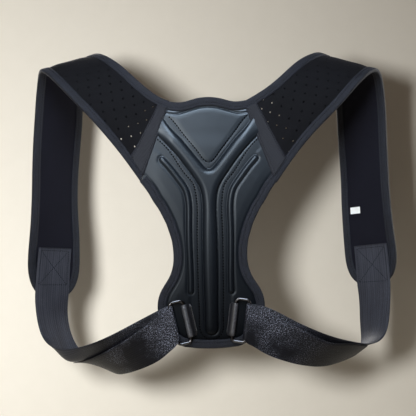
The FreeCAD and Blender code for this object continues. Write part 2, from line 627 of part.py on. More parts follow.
# ---------------------------------------------------------------- ribbons and lofts
class Ribbon:
    """A curved strip between two edges. Its normal agrees with toward at the mark check."""

    def __init__(self, rows, check, toward):
        marks = [row[0] for row in rows]
        self.one, self.two = Part.BSplineCurve(), Part.BSplineCurve()
        self.one.interpolate([Vector(*row[1:4]) for row in rows], Parameters=marks)
        self.two.interpolate([Vector(*row[4:7]) for row in rows], Parameters=marks)
        self.length = marks[-1]
        self.sign = 1.0
        if self.normal(check).dot(toward) < 0:
            self.sign = -1.0

    def normal(self, mark):
        first, first_slope = self.one.getD1(mark)
        second, second_slope = self.two.getD1(mark)
        width = (second - first).normalize()
        normal = (first_slope + second_slope).cross(width)
        normal.normalize()
        return normal * self.sign

    def at(self, mark, part, offset=0.0):
        """Point at a distance along, a fraction across, and an offset along the normal."""
        mark = min(max(mark, 0.0), self.length)
        first, second = self.one.value(mark), self.two.value(mark)
        return first + (second - first) * part + self.normal(mark) * offset

    def wide(self, mark):
        mark = min(max(mark, 0.0), self.length)
        return self.one.value(mark).distanceToPoint(self.two.value(mark))

    def section(self, mark, low, high, offset, other):
        """Four corners between the fractions low and high and between two offsets."""
        return [self.at(mark, low, offset), self.at(mark, high, offset),
                self.at(mark, high, other), self.at(mark, low, other)]


def solid(sections, ruled=False):
    wires = [Part.makePolygon(list(points) + [points[0]]) for points in sections]
    shape = Part.makeLoft(wires, True, ruled)
    if shape.Volume < 0:
        shape.reverse()
    return shape


def strip(ribbon, start, end, offset, other, inset, count, span=None):
    """Solid between two offsets, its sides inset by a distance or set by span's fractions."""
    sections = []
    for i in range(count):
        mark = start + (end - start) * i / (count - 1)
        margin = inset / ribbon.wide(mark)
        low, high = span or (margin, 1 - margin)
        sections.append(ribbon.section(mark, low, high, offset, other))
    return solid(sections)


RUN_STATIONS = 36   # sections along the strap before its round end


def run_marks(ribbon, start):
    """Even marks from start to where the round end begins."""
    run = ribbon.length - size("round_end") - start
    return [start + run * i / (RUN_STATIONS - 1) for i in range(RUN_STATIONS)]


def half_fraction(ribbon, mark, inset):
    """Half the strap's width as a fraction of its full width, all edges moved in by inset.
    The round end is a superellipse."""
    power = 2.5
    full = 0.5 - inset / ribbon.wide(mark)
    x = (mark - (ribbon.length - size("round_end"))) / (size("round_end") - inset)
    if x <= 0:
        return full
    return full * max(1 - min(x, 1.0) ** power, 0.0) ** (1 / power)


def round_strip(ribbon, start, offset, other, inset):
    """Layer of the strap, with its round end."""
    end_gap = 0.15
    reach = size("round_end") - inset - end_gap
    marks = run_marks(ribbon, start)
    marks += [ribbon.length - size("round_end") + reach * part
              for part in (0.25, 0.45, 0.62, 0.75, 0.85, 0.92, 0.965, 0.99)]
    sections = []
    for mark in marks:
        half = half_fraction(ribbon, mark, inset)
        sections.append(ribbon.section(mark, 0.5 - half, 0.5 + half, offset, other))
    return solid(sections)


def edge_band(ribbon, start):
    """Tape folded round the strap: along the neck-side edge, round the end and back along
    the arm-side edge."""
    length, run = ribbon.length, RUN_STATIONS
    path = [(mark, 0.0) for mark in run_marks(ribbon, start)]
    for part in (0.2, 0.4, 0.57, 0.71, 0.82, 0.9, 0.955, 0.988):
        mark = length - size("round_end") + size("round_end") * part
        path.append((mark, 0.5 - half_fraction(ribbon, mark, 0.0)))
    path += [(length, 0.5)] + [(mark, 1 - part) for mark, part in reversed(path)]
    # flat millimetres: distance along, distance across from the middle
    flat = [(mark, (part - 0.5) * ribbon.wide(mark)) for mark, part in path]
    leg, wall = size("band_leg"), size("band_wall")
    out, out_top = size("band_out"), size("band_out_top")
    inner, inner_top = size("band_in"), size("band_in_top")
    # channel profile: distance in from the edge, offset along the normal
    profile = [(0, out_top), (leg, out_top), (leg, out), (wall, out),
               (wall, -inner), (leg, -inner), (leg, -inner_top), (0, -inner_top)]

    def on_strap(mark, across):
        return ribbon.at(mark, across / ribbon.wide(mark) + 0.5)

    sections = []
    for i, (mark, across) in enumerate(flat):
        before, after = flat[max(i - 1, 0)], flat[min(i + 1, len(flat) - 1)]
        step_mark, step_across = after[0] - before[0], after[1] - before[1]
        if i <= run:
            step_mark, step_across = 1.0, 0.0
        elif i >= len(flat) - run - 1:
            step_mark, step_across = -1.0, 0.0
        step = math.hypot(step_mark, step_across)
        in_mark, in_across = -step_across / step, step_mark / step
        base = on_strap(mark, across)
        inward = (on_strap(mark + in_mark * leg, across + in_across * leg) - base).normalize()
        up = ribbon.normal(min(mark + in_mark * leg / 2, length))
        up = (up - inward * up.dot(inward)).normalize()
        sections.append([base + inward * reach + up * offset for reach, offset in profile])
    neck_run = solid(sections[:run + 1])
    round_end = solid(sections[run:-run])
    arm_run = solid(sections[-run - 1:])
    return neck_run.fuse(round_end).fuse(arm_run)


class FoldPlane:
    """Plane through the fold line at the wing; the webbing is parted split_gap each way."""

    def __init__(self, sign, low, high):
        self.low = low
        self.up = (high - low).normalize()
        across = Vector(sign, 0, 0)
        self.outboard = (across - self.up * across.dot(self.up)).normalize()

    def half_space(self, way):
        """Big box on the outboard (way 1) or inboard (way -1) side, past the gap."""
        x = self.outboard * way
        y = self.up.cross(x)
        big = 900.0
        box = Part.makeBox(big, 2 * big, 2 * big, Vector(0, -big, -big))
        box.Placement = FreeCAD.Placement(self.low + x * size("split_gap"),
                                          FreeCAD.Rotation(x, y, self.up, "ZXY"))
        return box

    def crossings(self, ribbon, part):
        """Distances along the ribbon where its line at part crosses the gap's inboard side."""
        steps = 400

        def height(mark):
            return (ribbon.at(mark, part) - self.low).dot(self.outboard) + size("split_gap")

        heights = [height(ribbon.length * i / steps) for i in range(steps + 1)]
        return [ribbon.length * (i - 0.5) / steps for i in range(1, steps + 1)
                if heights[i - 1] * heights[i] <= 0]


def add_part(label, shape):
    if shape.ShapeType != "Solid":
        if len(shape.Solids) != 1:
            raise RuntimeError("%s has %d solids" % (label, len(shape.Solids)))
        shape = shape.Solids[0]
    obj = doc.addObject("Part::Feature", camel(label))
    obj.Shape = shape
    obj.Placement = FreeCAD.Placement()
    keep(obj, label)


# ---------------------------------------------------------------- straps and webbing
def build_strap(name, strap, start):
    add_part(name + "_shoulder_pad",
             round_strip(strap, start, size("pad_out"), -size("pad_in"), inset=1.3))
    add_part(name + "_pad_lining",
             round_strip(strap, start, -size("lining_out"), -size("lining_in"), inset=1.4))
    add_part(name + "_strap_binding", edge_band(strap, start))
    add_part(name + "_joining_tape",
             strip(strap, start, start + size("join_wide"),
                   size("band_out_top"), size("band_out"), inset=10.9, count=4))


def build_box_stitch(name, web, half):
    """Square and cross of stitching on the wearer's side of the webbing's sewn end."""
    start, spare = 1.0, 10
    half_long, half_wide, thread = 25, 21.0, 1.2
    bar_tall, chord = 12, 11
    length = size("patch_size") + spare
    middle_mark = start + length / 2
    sheet_shape = strip(web, start, start + length, half + 0.25, half + 0.65,
                        inset=0.6, count=8)
    middle = web.at(middle_mark, 0.5, half)
    normal = web.normal(middle_mark)
    along = (web.at(middle_mark + chord, 0.5) - web.at(middle_mark - chord, 0.5)).normalize()
    across = normal.cross(along).normalize()

    def bar(x, y, end_x, end_y):
        box = Part.makeBox(math.hypot(end_x - x, end_y - y), thread, bar_tall,
                           Vector(0, -thread / 2, -bar_tall / 2))
        way = (along * (end_x - x) + across * (end_y - y)).normalize()
        box.Placement = FreeCAD.Placement(
            middle + along * x + across * y,
            FreeCAD.Rotation(way, normal.cross(way), normal, "ZXY"))
        return box

    long_end = half_long + thread / 2
    bars = [
        bar(-long_end, -half_wide, long_end, -half_wide),
        bar(-long_end, half_wide, long_end, half_wide),
        bar(-half_long, -half_wide, -half_long, half_wide),
        bar(half_long, -half_wide, half_long, half_wide),
        bar(-half_long, -half_wide, half_long, half_wide),
        bar(-half_long, half_wide, half_long, -half_wide),
    ]
    add_part(name + "_box_stitch", sheet_shape.common(bars[0].multiFuse(bars[1:])))


def build_webbing_fold(name, side, web, tail, fold, half):
    """One strip: end of the webbing, half turn round the ring's outer bar, start of the tail.
    Here the ribbons' normals point to the wearer, and the bar is in front of the webbing."""
    middle, up, _, out = ring_frame(side)
    bar_middle = middle + out * size("ring_pitch")
    radius, grip = size("bar_wrap"), size("bar_grip") / 2
    # both runs start past the fold plane, to be cut back to it
    first = fold.crossings(web, 0.0)[-1] - 9.0
    last = max(fold.crossings(tail, part)[0] for part in (0.0, 1.0)) + 6.0
    sections = [web.section(first + (web.length - first) * part, 0.0, 1.0, -half, half)
                for part in (0.0, 0.2, 0.4, 0.6, 0.8)]
    # from behind the bar, round its inboard side, to its front
    for degrees in (90, 60, 30, 0, -30, -60, -90):
        angle = math.radians(degrees)
        spoke = Vector(0, 1, 0) * math.sin(angle) + (out * -1) * math.cos(angle)
        sections.append([bar_middle + up * end + spoke * reach for end, reach in (
            (-grip, radius - half), (grip, radius - half),
            (grip, radius + half), (-grip, radius + half))])
    sections += [tail.section(last * part, 0.0, 1.0, half, -half)
                 for part in (0.2, 0.4, 0.6, 0.8, 1.0)]
    add_part(name + "_webbing_fold", solid(sections, True).common(fold.half_space(-1)))


def build_tail(name, tail, fold, half):
    """Root on the strap side of the fold line, the sliding run, then the grip tab with its
    hook patch on the wearer's side."""
    slide, hook = size("slide_start"), size("hook_start")
    root_start, tab_gap = 4.0, 0.5
    patch_margin = 2.0
    root = strip(tail, root_start, slide, half, -half, inset=0, count=9)
    add_part(name + "_tail_root", root.common(fold.half_space(1)))
    add_part(name + "_webbing_tail",
             strip(tail, slide + size("slide_gap"), hook - tab_gap, half, -half,
                   inset=0, count=9))
    add_part(name + "_tail_tab",
             strip(tail, hook + tab_gap, tail.length, 0.1, -half, inset=0, count=6))
    add_part(name + "_hook_patch",
             strip(tail, hook + patch_margin, tail.length - patch_margin, half, 0.2,
                   inset=2.4, count=6))


def build_care_label(strap):
    """Small blank label on the wearer's side of the right strap."""
    mark, part = strap.length - 118.0, 0.365
    half_wide = size("label_wide") / 2
    half_part = size("label_tall") / 2 / strap.wide(mark)
    add_part("right_care_label",
             strip(strap, mark - half_wide, mark + half_wide,
                   -size("lining_in") - 0.3, -size("lining_in") - 0.6, inset=0, count=3,
                   span=(part - half_part, part + half_part)))


def build_side(name, side):
    """Strap and webbing of one side. The strap's normal points away from the wearer, those
    of the webbing and its tail towards the wearer."""
    half = size("web_thick") / 2
    strap = Ribbon(side["pad"], 5.0, Vector(0, -1, 0))
    web = Ribbon(side["web"], 20.0, strap.normal(strap.length - 40) * -1)
    tail = Ribbon(side["tail"], 60.0, web.normal(web.length - 50))
    fold = FoldPlane(side["sign"], *side["fold"])
    build_strap(name, strap, side["start"])
    # main run, from the strap's end to the fold line at the wing
    whole = strip(web, 0, web.length, half, -half, inset=0, count=27)
    add_part(name + "_webbing", whole.common(fold.half_space(1)))
    build_box_stitch(name, web, half)
    build_webbing_fold(name, side, web, tail, fold, half)
    build_tail(name, tail, fold, half)
    if name == "right":
        build_care_label(strap)


# ---------------------------------------------------------------- build and export
build_lining()
build_plate()
build_foam()
build_shell()
build_binding("neck", "neck_binding")
build_binding("side_r", "right_side_binding")
build_binding("hem", "hem_binding")
build_binding("side_l", "left_side_binding")
for name, side in SIDES.items():
    build_ring(name, side)
    build_keeper(name, side)
for name, side in SIDES.items():
    build_side(name, side)

doc.recompute()
for obj in doc.Objects:
    if "Invalid" in obj.State or "Error" in obj.State:
        raise RuntimeError("failed feature: " + obj.Name)
for obj in NODES:
    if obj.Shape.isNull() or not obj.Shape.isValid():
        raise RuntimeError("bad shape: " + obj.Label)
    if len(obj.Shape.Solids) != 1:
        raise RuntimeError("%s: %d solids" % (obj.Label, len(obj.Shape.Solids)))
os.makedirs("parts", exist_ok=True)
for obj in NODES:
    obj.Shape.exportStep("parts/%s.step" % obj.Label)
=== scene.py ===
import math

import bpy
import numpy as np
from mathutils import Matrix, Vector


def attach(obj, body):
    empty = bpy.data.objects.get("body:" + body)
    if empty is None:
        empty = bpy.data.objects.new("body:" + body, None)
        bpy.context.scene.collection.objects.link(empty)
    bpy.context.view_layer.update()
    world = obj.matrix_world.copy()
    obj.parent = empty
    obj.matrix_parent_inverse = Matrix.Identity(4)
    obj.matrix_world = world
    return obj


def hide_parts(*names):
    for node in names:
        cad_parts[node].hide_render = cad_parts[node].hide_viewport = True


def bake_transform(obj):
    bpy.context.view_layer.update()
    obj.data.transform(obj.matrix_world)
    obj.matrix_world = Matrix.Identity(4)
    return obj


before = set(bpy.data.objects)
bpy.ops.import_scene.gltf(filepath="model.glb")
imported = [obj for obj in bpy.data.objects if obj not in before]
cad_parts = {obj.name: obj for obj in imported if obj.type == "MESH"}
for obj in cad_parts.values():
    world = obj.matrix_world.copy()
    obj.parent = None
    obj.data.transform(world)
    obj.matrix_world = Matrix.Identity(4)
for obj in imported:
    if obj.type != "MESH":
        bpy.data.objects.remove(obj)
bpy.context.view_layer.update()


MM = 0.001
DETAIL = 1.0
FRONT = np.array([0, -1.0, 0])


# ------------------------------------------------------------------ measured shapes
def stations(text):
    return np.array(text.split(), float).reshape(-1, 7)


# Columns: distance along, then x y z of one edge, then x y z of the other edge
LEFT_PAD = stations("""
0 -50 -3 158.6 -89.5 -3 55.5
23.8 -64.1 -3 165 -111.9 -2.8 87.7
47.7 -79.7 -1.8 176.7 -133.6 -4.6 115.5
71.5 -96.7 2.2 192.4 -153.6 -7 138.9
95.3 -113.6 10.8 207.9 -172.7 -7.5 159
119.2 -129.2 24 219.2 -190.1 -3.5 178
143 -142 40.4 225.5 -205.6 5.7 193.9
166.8 -152.3 57.5 225.9 -217.2 18.8 202.7
190.7 -161.2 73.6 215.7 -223.3 32.9 200.3
214.5 -168.1 86.5 195.8 -226.9 44 187.7
238.3 -172.5 94.9 170.1 -230 50.3 168.4
262.2 -174.7 99.2 142.3 -232.2 52.5 145.2
286 -177.5 100.5 114.8 -234.1 52 120.4
309.8 -180.1 100.1 88.3 -235.4 50.2 95
333.7 -182.1 98.5 62.9 -236.2 47.9 69.5
357.5 -182.9 96 38.3 -236.7 45.8 44.4
381.3 -182.3 92.6 14.3 -237.8 44.2 20
405.2 -180.7 89 -9.2 -239.5 43.3 -3.9
429 -179.9 85.5 -32.5 -242 43 -27.5
452.8 -179.9 82.5 -55.5 -243.8 42.9 -51.1
476.7 -180.1 80.2 -78.3 -244.5 42.6 -74.9
500.5 -180.5 78.5 -101.2 -244.9 41.9 -98.6
""")
LEFT_WEB = stations("""
0 -189.6 73.7 -32.9 -229.2 46.8 -29.6
11.1 -190.3 72.2 -43.8 -230.6 46.2 -40.8
22.2 -191.1 70.8 -54.7 -231.7 45.5 -51.9
33.4 -191.7 69.5 -65.6 -232.8 44.9 -63.1
44.5 -192.3 68.3 -76.7 -233.7 44.2 -74.2
55.6 -192.9 67.1 -87.6 -234.6 43.5 -85.3
66.7 -193.7 66.7 -98 -235.1 42.6 -97
77.8 -194.8 67.8 -107.3 -234.6 41.7 -109.4
89 -195.5 69.5 -117 -233.2 40.7 -121.5
100.1 -195.2 70.5 -127.8 -231.2 39.3 -132.5
111.2 -193.4 70 -139.3 -228.2 36.9 -142.1
122.3 -190.2 67.5 -150.2 -223.9 33.2 -150.2
133.4 -185.6 63.4 -159.8 -218 28 -156.4
144.6 -179.8 57.9 -167.6 -210.6 21.7 -160.5
155.7 -173.1 51.4 -173.4 -202 14.7 -162.5
166.8 -165.5 44.5 -177.6 -192.5 7.8 -162.6
177.9 -157.4 37.5 -180.3 -182.5 1.3 -161.2
189 -148.8 30.6 -181.9 -172.3 -4.4 -158.9
200.2 -139.8 24.1 -182.5 -161.9 -9.1 -155.8
211.3 -130.4 18.1 -182.2 -151.5 -12.8 -152.1
222.4 -120.8 12.5 -181.3 -141.1 -15.4 -147.8
233.5 -111 7.4 -179.6 -130.6 -16.9 -143.1
244.6 -101.3 2.9 -177.3 -120.1 -17.2 -138
255.7 -91.6 -1.1 -174.3 -109.4 -16.6 -132.6
266.9 -82.1 -4.4 -170.9 -98.6 -15.3 -127.2
278 -72.8 -7.2 -166.9 -87.7 -13.6 -121.8
289.1 -63.6 -9.2 -162.7 -76.9 -12 -116.5
300.2 -54.2 -10 -158.3 -66.2 -10.5 -111.4
311.3 -44.5 -9.3 -153.6 -55.9 -9.2 -106.7
""")
LEFT_TAIL = stations("""
0 -43.4 -15.9 -156.6 -54.7 -15.9 -110
10 -51.6 -14.4 -162.7 -63.6 -14.6 -116.2
20 -58.6 -12 -169 -73.5 -14.5 -123.6
30 -65.5 -9.4 -174.7 -84.1 -15.3 -131.1
40 -72.9 -5.8 -179.6 -94.9 -15.7 -138.4
50 -80.9 -1.7 -183.9 -105.5 -15.4 -145.3
60 -89.2 3.1 -187.8 -115.7 -13.8 -151.8
70 -97.5 8.9 -191.3 -125.5 -10.7 -157.8
80 -105.5 15.6 -194.5 -134.7 -5.9 -163.2
90 -113.2 23.3 -197.3 -143.2 0.2 -167.9
100 -120.4 31.9 -199.4 -151.1 7.1 -172
110 -127.2 41.2 -200.3 -158.3 14.3 -175.4
120 -133.9 51 -199.3 -165.2 21.2 -178.3
130 -140.8 60.6 -196.1 -171.9 27.6 -180.7
140 -148 69.3 -190.8 -178.5 33.4 -182.8
150 -155.9 76.8 -183.4 -185.1 38.6 -184.4
""")
RIGHT_PAD = stations("""
0 47.2 -3 156.4 88.2 -3 51
24.3 64.8 -3 166.2 111.9 -2.8 84
48.6 82.9 -2 178.3 135.3 -4.4 112
72.8 100.6 1.8 193.4 157.7 -6.8 134.7
97.1 117.7 10.8 208 177.3 -7.4 155
121.4 134.4 25.4 217.8 194.3 -3.5 174.2
145.7 149 43.6 222.4 210 6 189.2
170 160.7 62.6 217.7 222.9 20.1 196.1
194.2 169.4 78.7 201.6 231.3 35.2 190.7
218.5 175.4 89.5 177.4 236.2 46.6 174
242.8 178.7 95.1 149.8 238.8 52.1 150.8
267.1 180.1 97 122.2 239.7 53.1 125.3
291.4 181.2 96.8 95.9 239.9 51.7 100
315.7 182.4 95.6 71 240.3 49.5 75.6
339.9 183.1 93.9 47.2 240.7 47.6 52.3
364.2 183.1 91.8 24.4 241.7 46.2 30
388.5 183.5 89.5 2 243.3 45.4 8.4
412.8 184.2 87.2 -19.9 245.4 44.9 -12.8
437.1 185.2 85.1 -41.2 247.9 44.4 -34
461.4 186.4 83.1 -62.1 249.6 43.6 -55.5
485.6 187.3 81.1 -82.8 250.7 42.3 -77.1
497.8 187.6 80.1 -93.1 251 41.5 -87.9
""")
RIGHT_WEB = stations("""
0 196.5 73 -36.7 236.5 46.9 -32.1
10.8 197.2 72.1 -47.4 237.5 46.4 -43
21.7 197.9 71.2 -58.1 238.4 45.8 -53.8
32.5 198.4 70.2 -69 239.1 45.2 -64.6
43.4 198.8 69.2 -79.7 239.7 44.3 -75.5
54.2 199.3 68.6 -89.3 240 43.4 -87.5
65 200.2 68.9 -96.8 239.8 42.8 -101.6
75.9 201.2 70 -104.6 239.1 42.6 -115.5
86.7 202 71.5 -114.4 238.1 42.5 -127.5
97.5 202.6 73.7 -126.4 236.7 41.8 -137.7
108.4 203.1 75.7 -139.2 234.4 40 -146.4
119.2 203.8 76.6 -151.6 230.6 36.8 -153.9
130.1 204 75.3 -163.2 225.1 32.4 -159.5
140.9 202.2 71.3 -172.8 218.1 27.1 -162.8
151.8 196.6 64.8 -179.2 209.9 21.4 -163.8
162.6 187.1 56.8 -183.5 201 15.7 -163
173.4 176 47.8 -186.4 191.7 10.2 -161.1
184.3 164.4 38.1 -188.7 182.2 5.1 -158.7
195.1 153 28.7 -189.6 172.7 0.5 -156
205.9 142.2 20.3 -189.1 163.1 -3.5 -153
216.8 131.8 13.3 -187.4 153.6 -6.8 -149.6
227.6 122.2 8.1 -184.8 144 -9.4 -145.8
238.5 113.1 3.5 -182 134.3 -11.3 -141.6
249.3 103.4 -0.8 -178.6 124.6 -12.8 -137.2
260.1 93.8 -4.2 -174.6 114.8 -13.8 -132.5
271 84.5 -6.7 -170.2 104.8 -14.4 -127.3
281.8 75.5 -8.4 -165.4 94.7 -14.5 -121.8
292.7 66.9 -9.7 -160.3 84.2 -14.5 -116.1
303.5 58.6 -10.6 -155.7 73 -14.1 -111
314.3 50.1 -10.9 -152.7 61.3 -12.8 -107.6
325.2 40.9 -10.2 -153.1 49.4 -10.2 -106.1
""")
RIGHT_TAIL = stations("""
0 40.4 -16.8 -154.3 49.2 -16.8 -106.4
8.7 47.3 -15.5 -157.2 57.9 -16.3 -110.6
18.7 54.4 -13.9 -161.1 68.4 -16 -115.5
28.7 62 -13.1 -166.1 78.6 -16 -121.5
38.7 70.3 -11.7 -171 88.8 -16.2 -127.1
48.7 79.4 -10 -175.3 99.1 -16.8 -131.9
58.7 88.6 -8 -178.9 109.5 -17.8 -136.6
68.7 97.3 -5.5 -182 120 -18.6 -141.6
78.7 105.2 -2.3 -184.7 130.7 -18.3 -147.3
88.7 112.7 1.7 -186.9 141.3 -16.2 -153
98.7 121.1 6.4 -188.9 151.3 -11.9 -157.4
108.7 131.4 12.7 -191 160.4 -6.6 -159.7
118.7 143.8 21.1 -192.4 169 -1.8 -160.4
128.7 157.5 31.1 -192 178 2.1 -160.7
138.7 170.4 41.2 -189.9 187.3 6 -161.9
148.7 181 50.2 -187.7 195.9 11.1 -164.1
158.7 191 58.4 -184.7 204.5 16.5 -165.7
""")

# Panel lines, right half, as (x, z). First its outline: neck, side and hem
NECK = [(0, 162.9), (7, 162.5), (13.6, 161.6), (22.8, 159.2), (29.3, 157.4), (38.4, 156.5),
        (44, 157.0), (50.5, 158.0)]
SIDE = [(88.7, 53.0), (78.0, 38), (72.5, 28), (65.9, 18), (60.8, 8), (56.2, -2), (52.9, -12),
        (50, -22), (48.5, -32), (47.9, -42), (48.4, -52), (50.6, -62), (55.0, -72), (61.4, -82),
        (66.6, -92), (69.2, -102), (69.6, -112), (68.3, -122), (65.4, -132), (60.6, -142),
        (54.0, -150), (46.0, -155.6), (36.0, -160.5)]
HEM = [SIDE[-1], (29, -161.6), (22, -162.4), (12, -163.1), (0, -163.4)]
# Raised Y: its edge facing the neck, then its edge facing the sides
Y_UPPER = [(0.0, 69.2), (2.5, 69.6), (5.5, 71.8), (11.2, 78.6), (23.9, 94.4), (36.6, 110.2),
           (49.3, 123.4), (56.5, 133.0), (63, 142)]
Y_LOWER = [(76, 126), (66.0, 115.0), (56, 104.5), (49, 97), (36, 81.7), (24.7, 66), (16.5, 54),
           (11.5, 43.5), (9.2, 32), (8.8, 0), (9.3, -36), (9, -87.5), (8.7, -128), (8.2, -138),
           (5.5, -143.5), (0, -145.5)]
# Triangular pad between the arms of the Y: its stitched V and the arc along its top
V_STITCH = [(51.3, 138.5), (46.5, 133.7), (36.4, 120.5), (23.7, 104.1), (11.1, 87.7),
            (3.9, 79.6), (0, 78.0)]
ARC = [(53.5, 142), (42.5, 140.7), (33.4, 142.5), (23, 145.6), (10, 149), (0, 149.9)]
# Stitched row beside the Y, and the rib outside it
ROW = [(66.5, 109.5), (55, 98.5), (45, 85), (37.3, 72.6), (28.5, 60.5), (21, 51), (18.3, 43),
       (16.6, 32), (16.4, -10), (16.4, -60), (16, -100), (15.5, -126), (14.6, -140),
       (11.5, -145.8), (5, -150.2), (0, -151.2)]
RIB = [(60.5, 82.6), (51, 72), (39, 56), (30.7, 43), (27.6, 31), (27, 0), (26.5, -48),
       (26, -75), (26.2, -88.5)]


# ------------------------------------------------------------------ curves
def smooth(x, low, high):
    """Eases from 0 at low to 1 at high."""
    share = np.clip((np.asarray(x, float) - low) / (high - low), 0, 1)
    return share * share * (3 - 2 * share)


def unit(vectors):
    return vectors / np.maximum(np.linalg.norm(vectors, axis=-1, keepdims=True), 1e-12)


def arc_length(points):
    return np.r_[0, np.cumsum(np.linalg.norm(np.diff(points, axis=0), axis=1))]


def resample(points, places, wanted):
    return np.stack([np.interp(wanted, places, column) for column in points.T], axis=1)


class Spline:
    """Natural cubic through points at given places."""

    def __init__(self, places, points):
        count, gap = len(places), np.diff(places)
        system, target = np.zeros((count, count)), np.zeros(points.shape)
        system[0, 0] = system[-1, -1] = 1
        for i in range(1, count - 1):
            system[i, i - 1:i + 2] = gap[i - 1], 2 * (gap[i - 1] + gap[i]), gap[i]
            target[i] = 6 * ((points[i + 1] - points[i]) / gap[i]
                             - (points[i] - points[i - 1]) / gap[i - 1])
        self.curve = np.linalg.solve(system, target)
        self.places, self.points, self.gap = places, points, gap

    def __call__(self, place, slope=False):
        place = np.asarray(place, float)
        i = np.searchsorted(self.places, place, side="right") - 1
        i = np.clip(i, 0, len(self.gap) - 1)
        ahead = (self.places[i + 1] - place)[..., None]
        past = (place - self.places[i])[..., None]
        gap = self.gap[i][..., None]
        curve0, curve1 = self.curve[i], self.curve[i + 1]
        line0 = self.points[i] / gap - curve0 * gap / 6
        line1 = self.points[i + 1] / gap - curve1 * gap / 6
        if slope:
            return (-curve0 * ahead ** 2 + curve1 * past ** 2) / (2 * gap) - line0 + line1
        cubic = (curve0 * ahead ** 3 + curve1 * past ** 3) / (6 * gap)
        return cubic + line0 * ahead + line1 * past


def through(points, step):
    """Evenly spaced points along a smooth curve through the given ones."""
    points = np.asarray(points, float)
    places = arc_length(points)
    dense = Spline(places, points)(np.linspace(0, places[-1], 40 * len(points)))
    arc = arc_length(dense)
    count = max(2, int(round(arc[-1] / step)) + 1)
    return resample(dense, arc, np.linspace(0, arc[-1], count))


class Ribbon:
    """A band between two edge curves; its normal is turned towards a given direction."""

    def __init__(self, table, station, toward):
        self.edge0 = Spline(table[:, 0], table[:, 1:4])
        self.edge1 = Spline(table[:, 0], table[:, 4:7])
        self.length, self.sign = table[-1, 0], 1.0
        if np.dot(self.normal(station), toward) < 0:
            self.sign = -1.0

    def normal(self, station):
        across = unit(self.edge1(station) - self.edge0(station))
        along = self.edge0(station, slope=True) + self.edge1(station, slope=True)
        return unit(np.cross(along, across)) * self.sign

    def width(self, station):
        return np.linalg.norm(self.edge1(station) - self.edge0(station), axis=-1)

    def at(self, station, share, lift=0.0):
        """Points at a share of the width from the first edge, lifted along the normal."""
        station, share, lift = np.broadcast_arrays(station, share, lift)
        start, end = self.edge0(station), self.edge1(station)
        return start + (end - start) * share[..., None] + self.normal(station) * lift[..., None]

    def sections(self, start, stop, shares):
        """Slanted cross sections; start and stop each hold a station on either edge."""
        low, high = (start[i] + (stop[i] - start[i]) * shares for i in (0, 1))
        middle = (low + high) / 2
        edge0, edge1 = self.edge0(low), self.edge1(high)
        normals = self.normal(np.clip(middle, 0, self.length))
        across = unit(edge1 - edge0)
        normals = unit(normals - across * (normals * across).sum(1, keepdims=True))
        return edge0, edge1, normals, middle


# ------------------------------------------------------------------ meshes
def piece(name, points, faces, material, uv=None, replaces=()):
    mesh = bpy.data.meshes.new(name)
    points = np.asarray(points, float).reshape(-1, 3)
    mesh.from_pydata((points * MM).tolist(), [], [list(map(int, face)) for face in faces])
    mesh.validate(clean_customdata=False)
    if uv is not None:
        layer = mesh.uv_layers.new(name="UVMap")
        index = np.zeros(len(mesh.loops), np.int32)
        mesh.loops.foreach_get("vertex_index", index)
        values = np.asarray(uv, float).reshape(-1, 2)[index] * MM
        layer.data.foreach_set("uv", values.astype(np.float32).ravel())
    mesh.polygons.foreach_set("use_smooth", [True] * len(mesh.polygons))
    mesh.update()
    mesh.materials.append(material)
    obj = bpy.data.objects.new(name, mesh)
    bpy.context.scene.collection.objects.link(obj)
    if replaces:
        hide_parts(*replaces)
    return obj


def quads(rows, columns, flip=False):
    grid = np.arange(rows * columns).reshape(rows, columns)
    faces = np.stack([grid[:-1, :-1], grid[1:, :-1], grid[1:, 1:], grid[:-1, 1:]], axis=-1)
    faces = faces.reshape(-1, 4)
    return faces[:, ::-1] if flip else faces


def uv_grid(along, across):
    return np.stack(np.broadcast_arrays(along[:, None], across), axis=-1)


def bend(obj, body, other_body, weight):
    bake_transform(obj)


def bend_at_seam(obj, side, station):
    """Bakes the piece's transform into its mesh; the blend from the panel at the shoulder seam to the
    strap loop further along is not made.
    """
    bend(obj, "panel", side.loop, smooth(station, 2.0, 42.0))


# One stitch body, as rings of (place along its length, fatness, rise)
STITCH_RINGS = [(-0.5, 0.15, -0.9), (-0.36, 0.8, -0.1), (0.0, 1.0, 0.25), (0.36, 0.8, -0.1),
                (0.5, 0.15, -0.9)]
STITCH_SIDES = 6
STITCH_POINTS = len(STITCH_RINGS) * STITCH_SIDES
STITCH_FACES = np.array([
    (ring * STITCH_SIDES + i, ring * STITCH_SIDES + (i + 1) % STITCH_SIDES,
     (ring + 1) * STITCH_SIDES + (i + 1) % STITCH_SIDES, (ring + 1) * STITCH_SIDES + i)
    for ring in range(len(STITCH_RINGS) - 1) for i in range(STITCH_SIDES)])


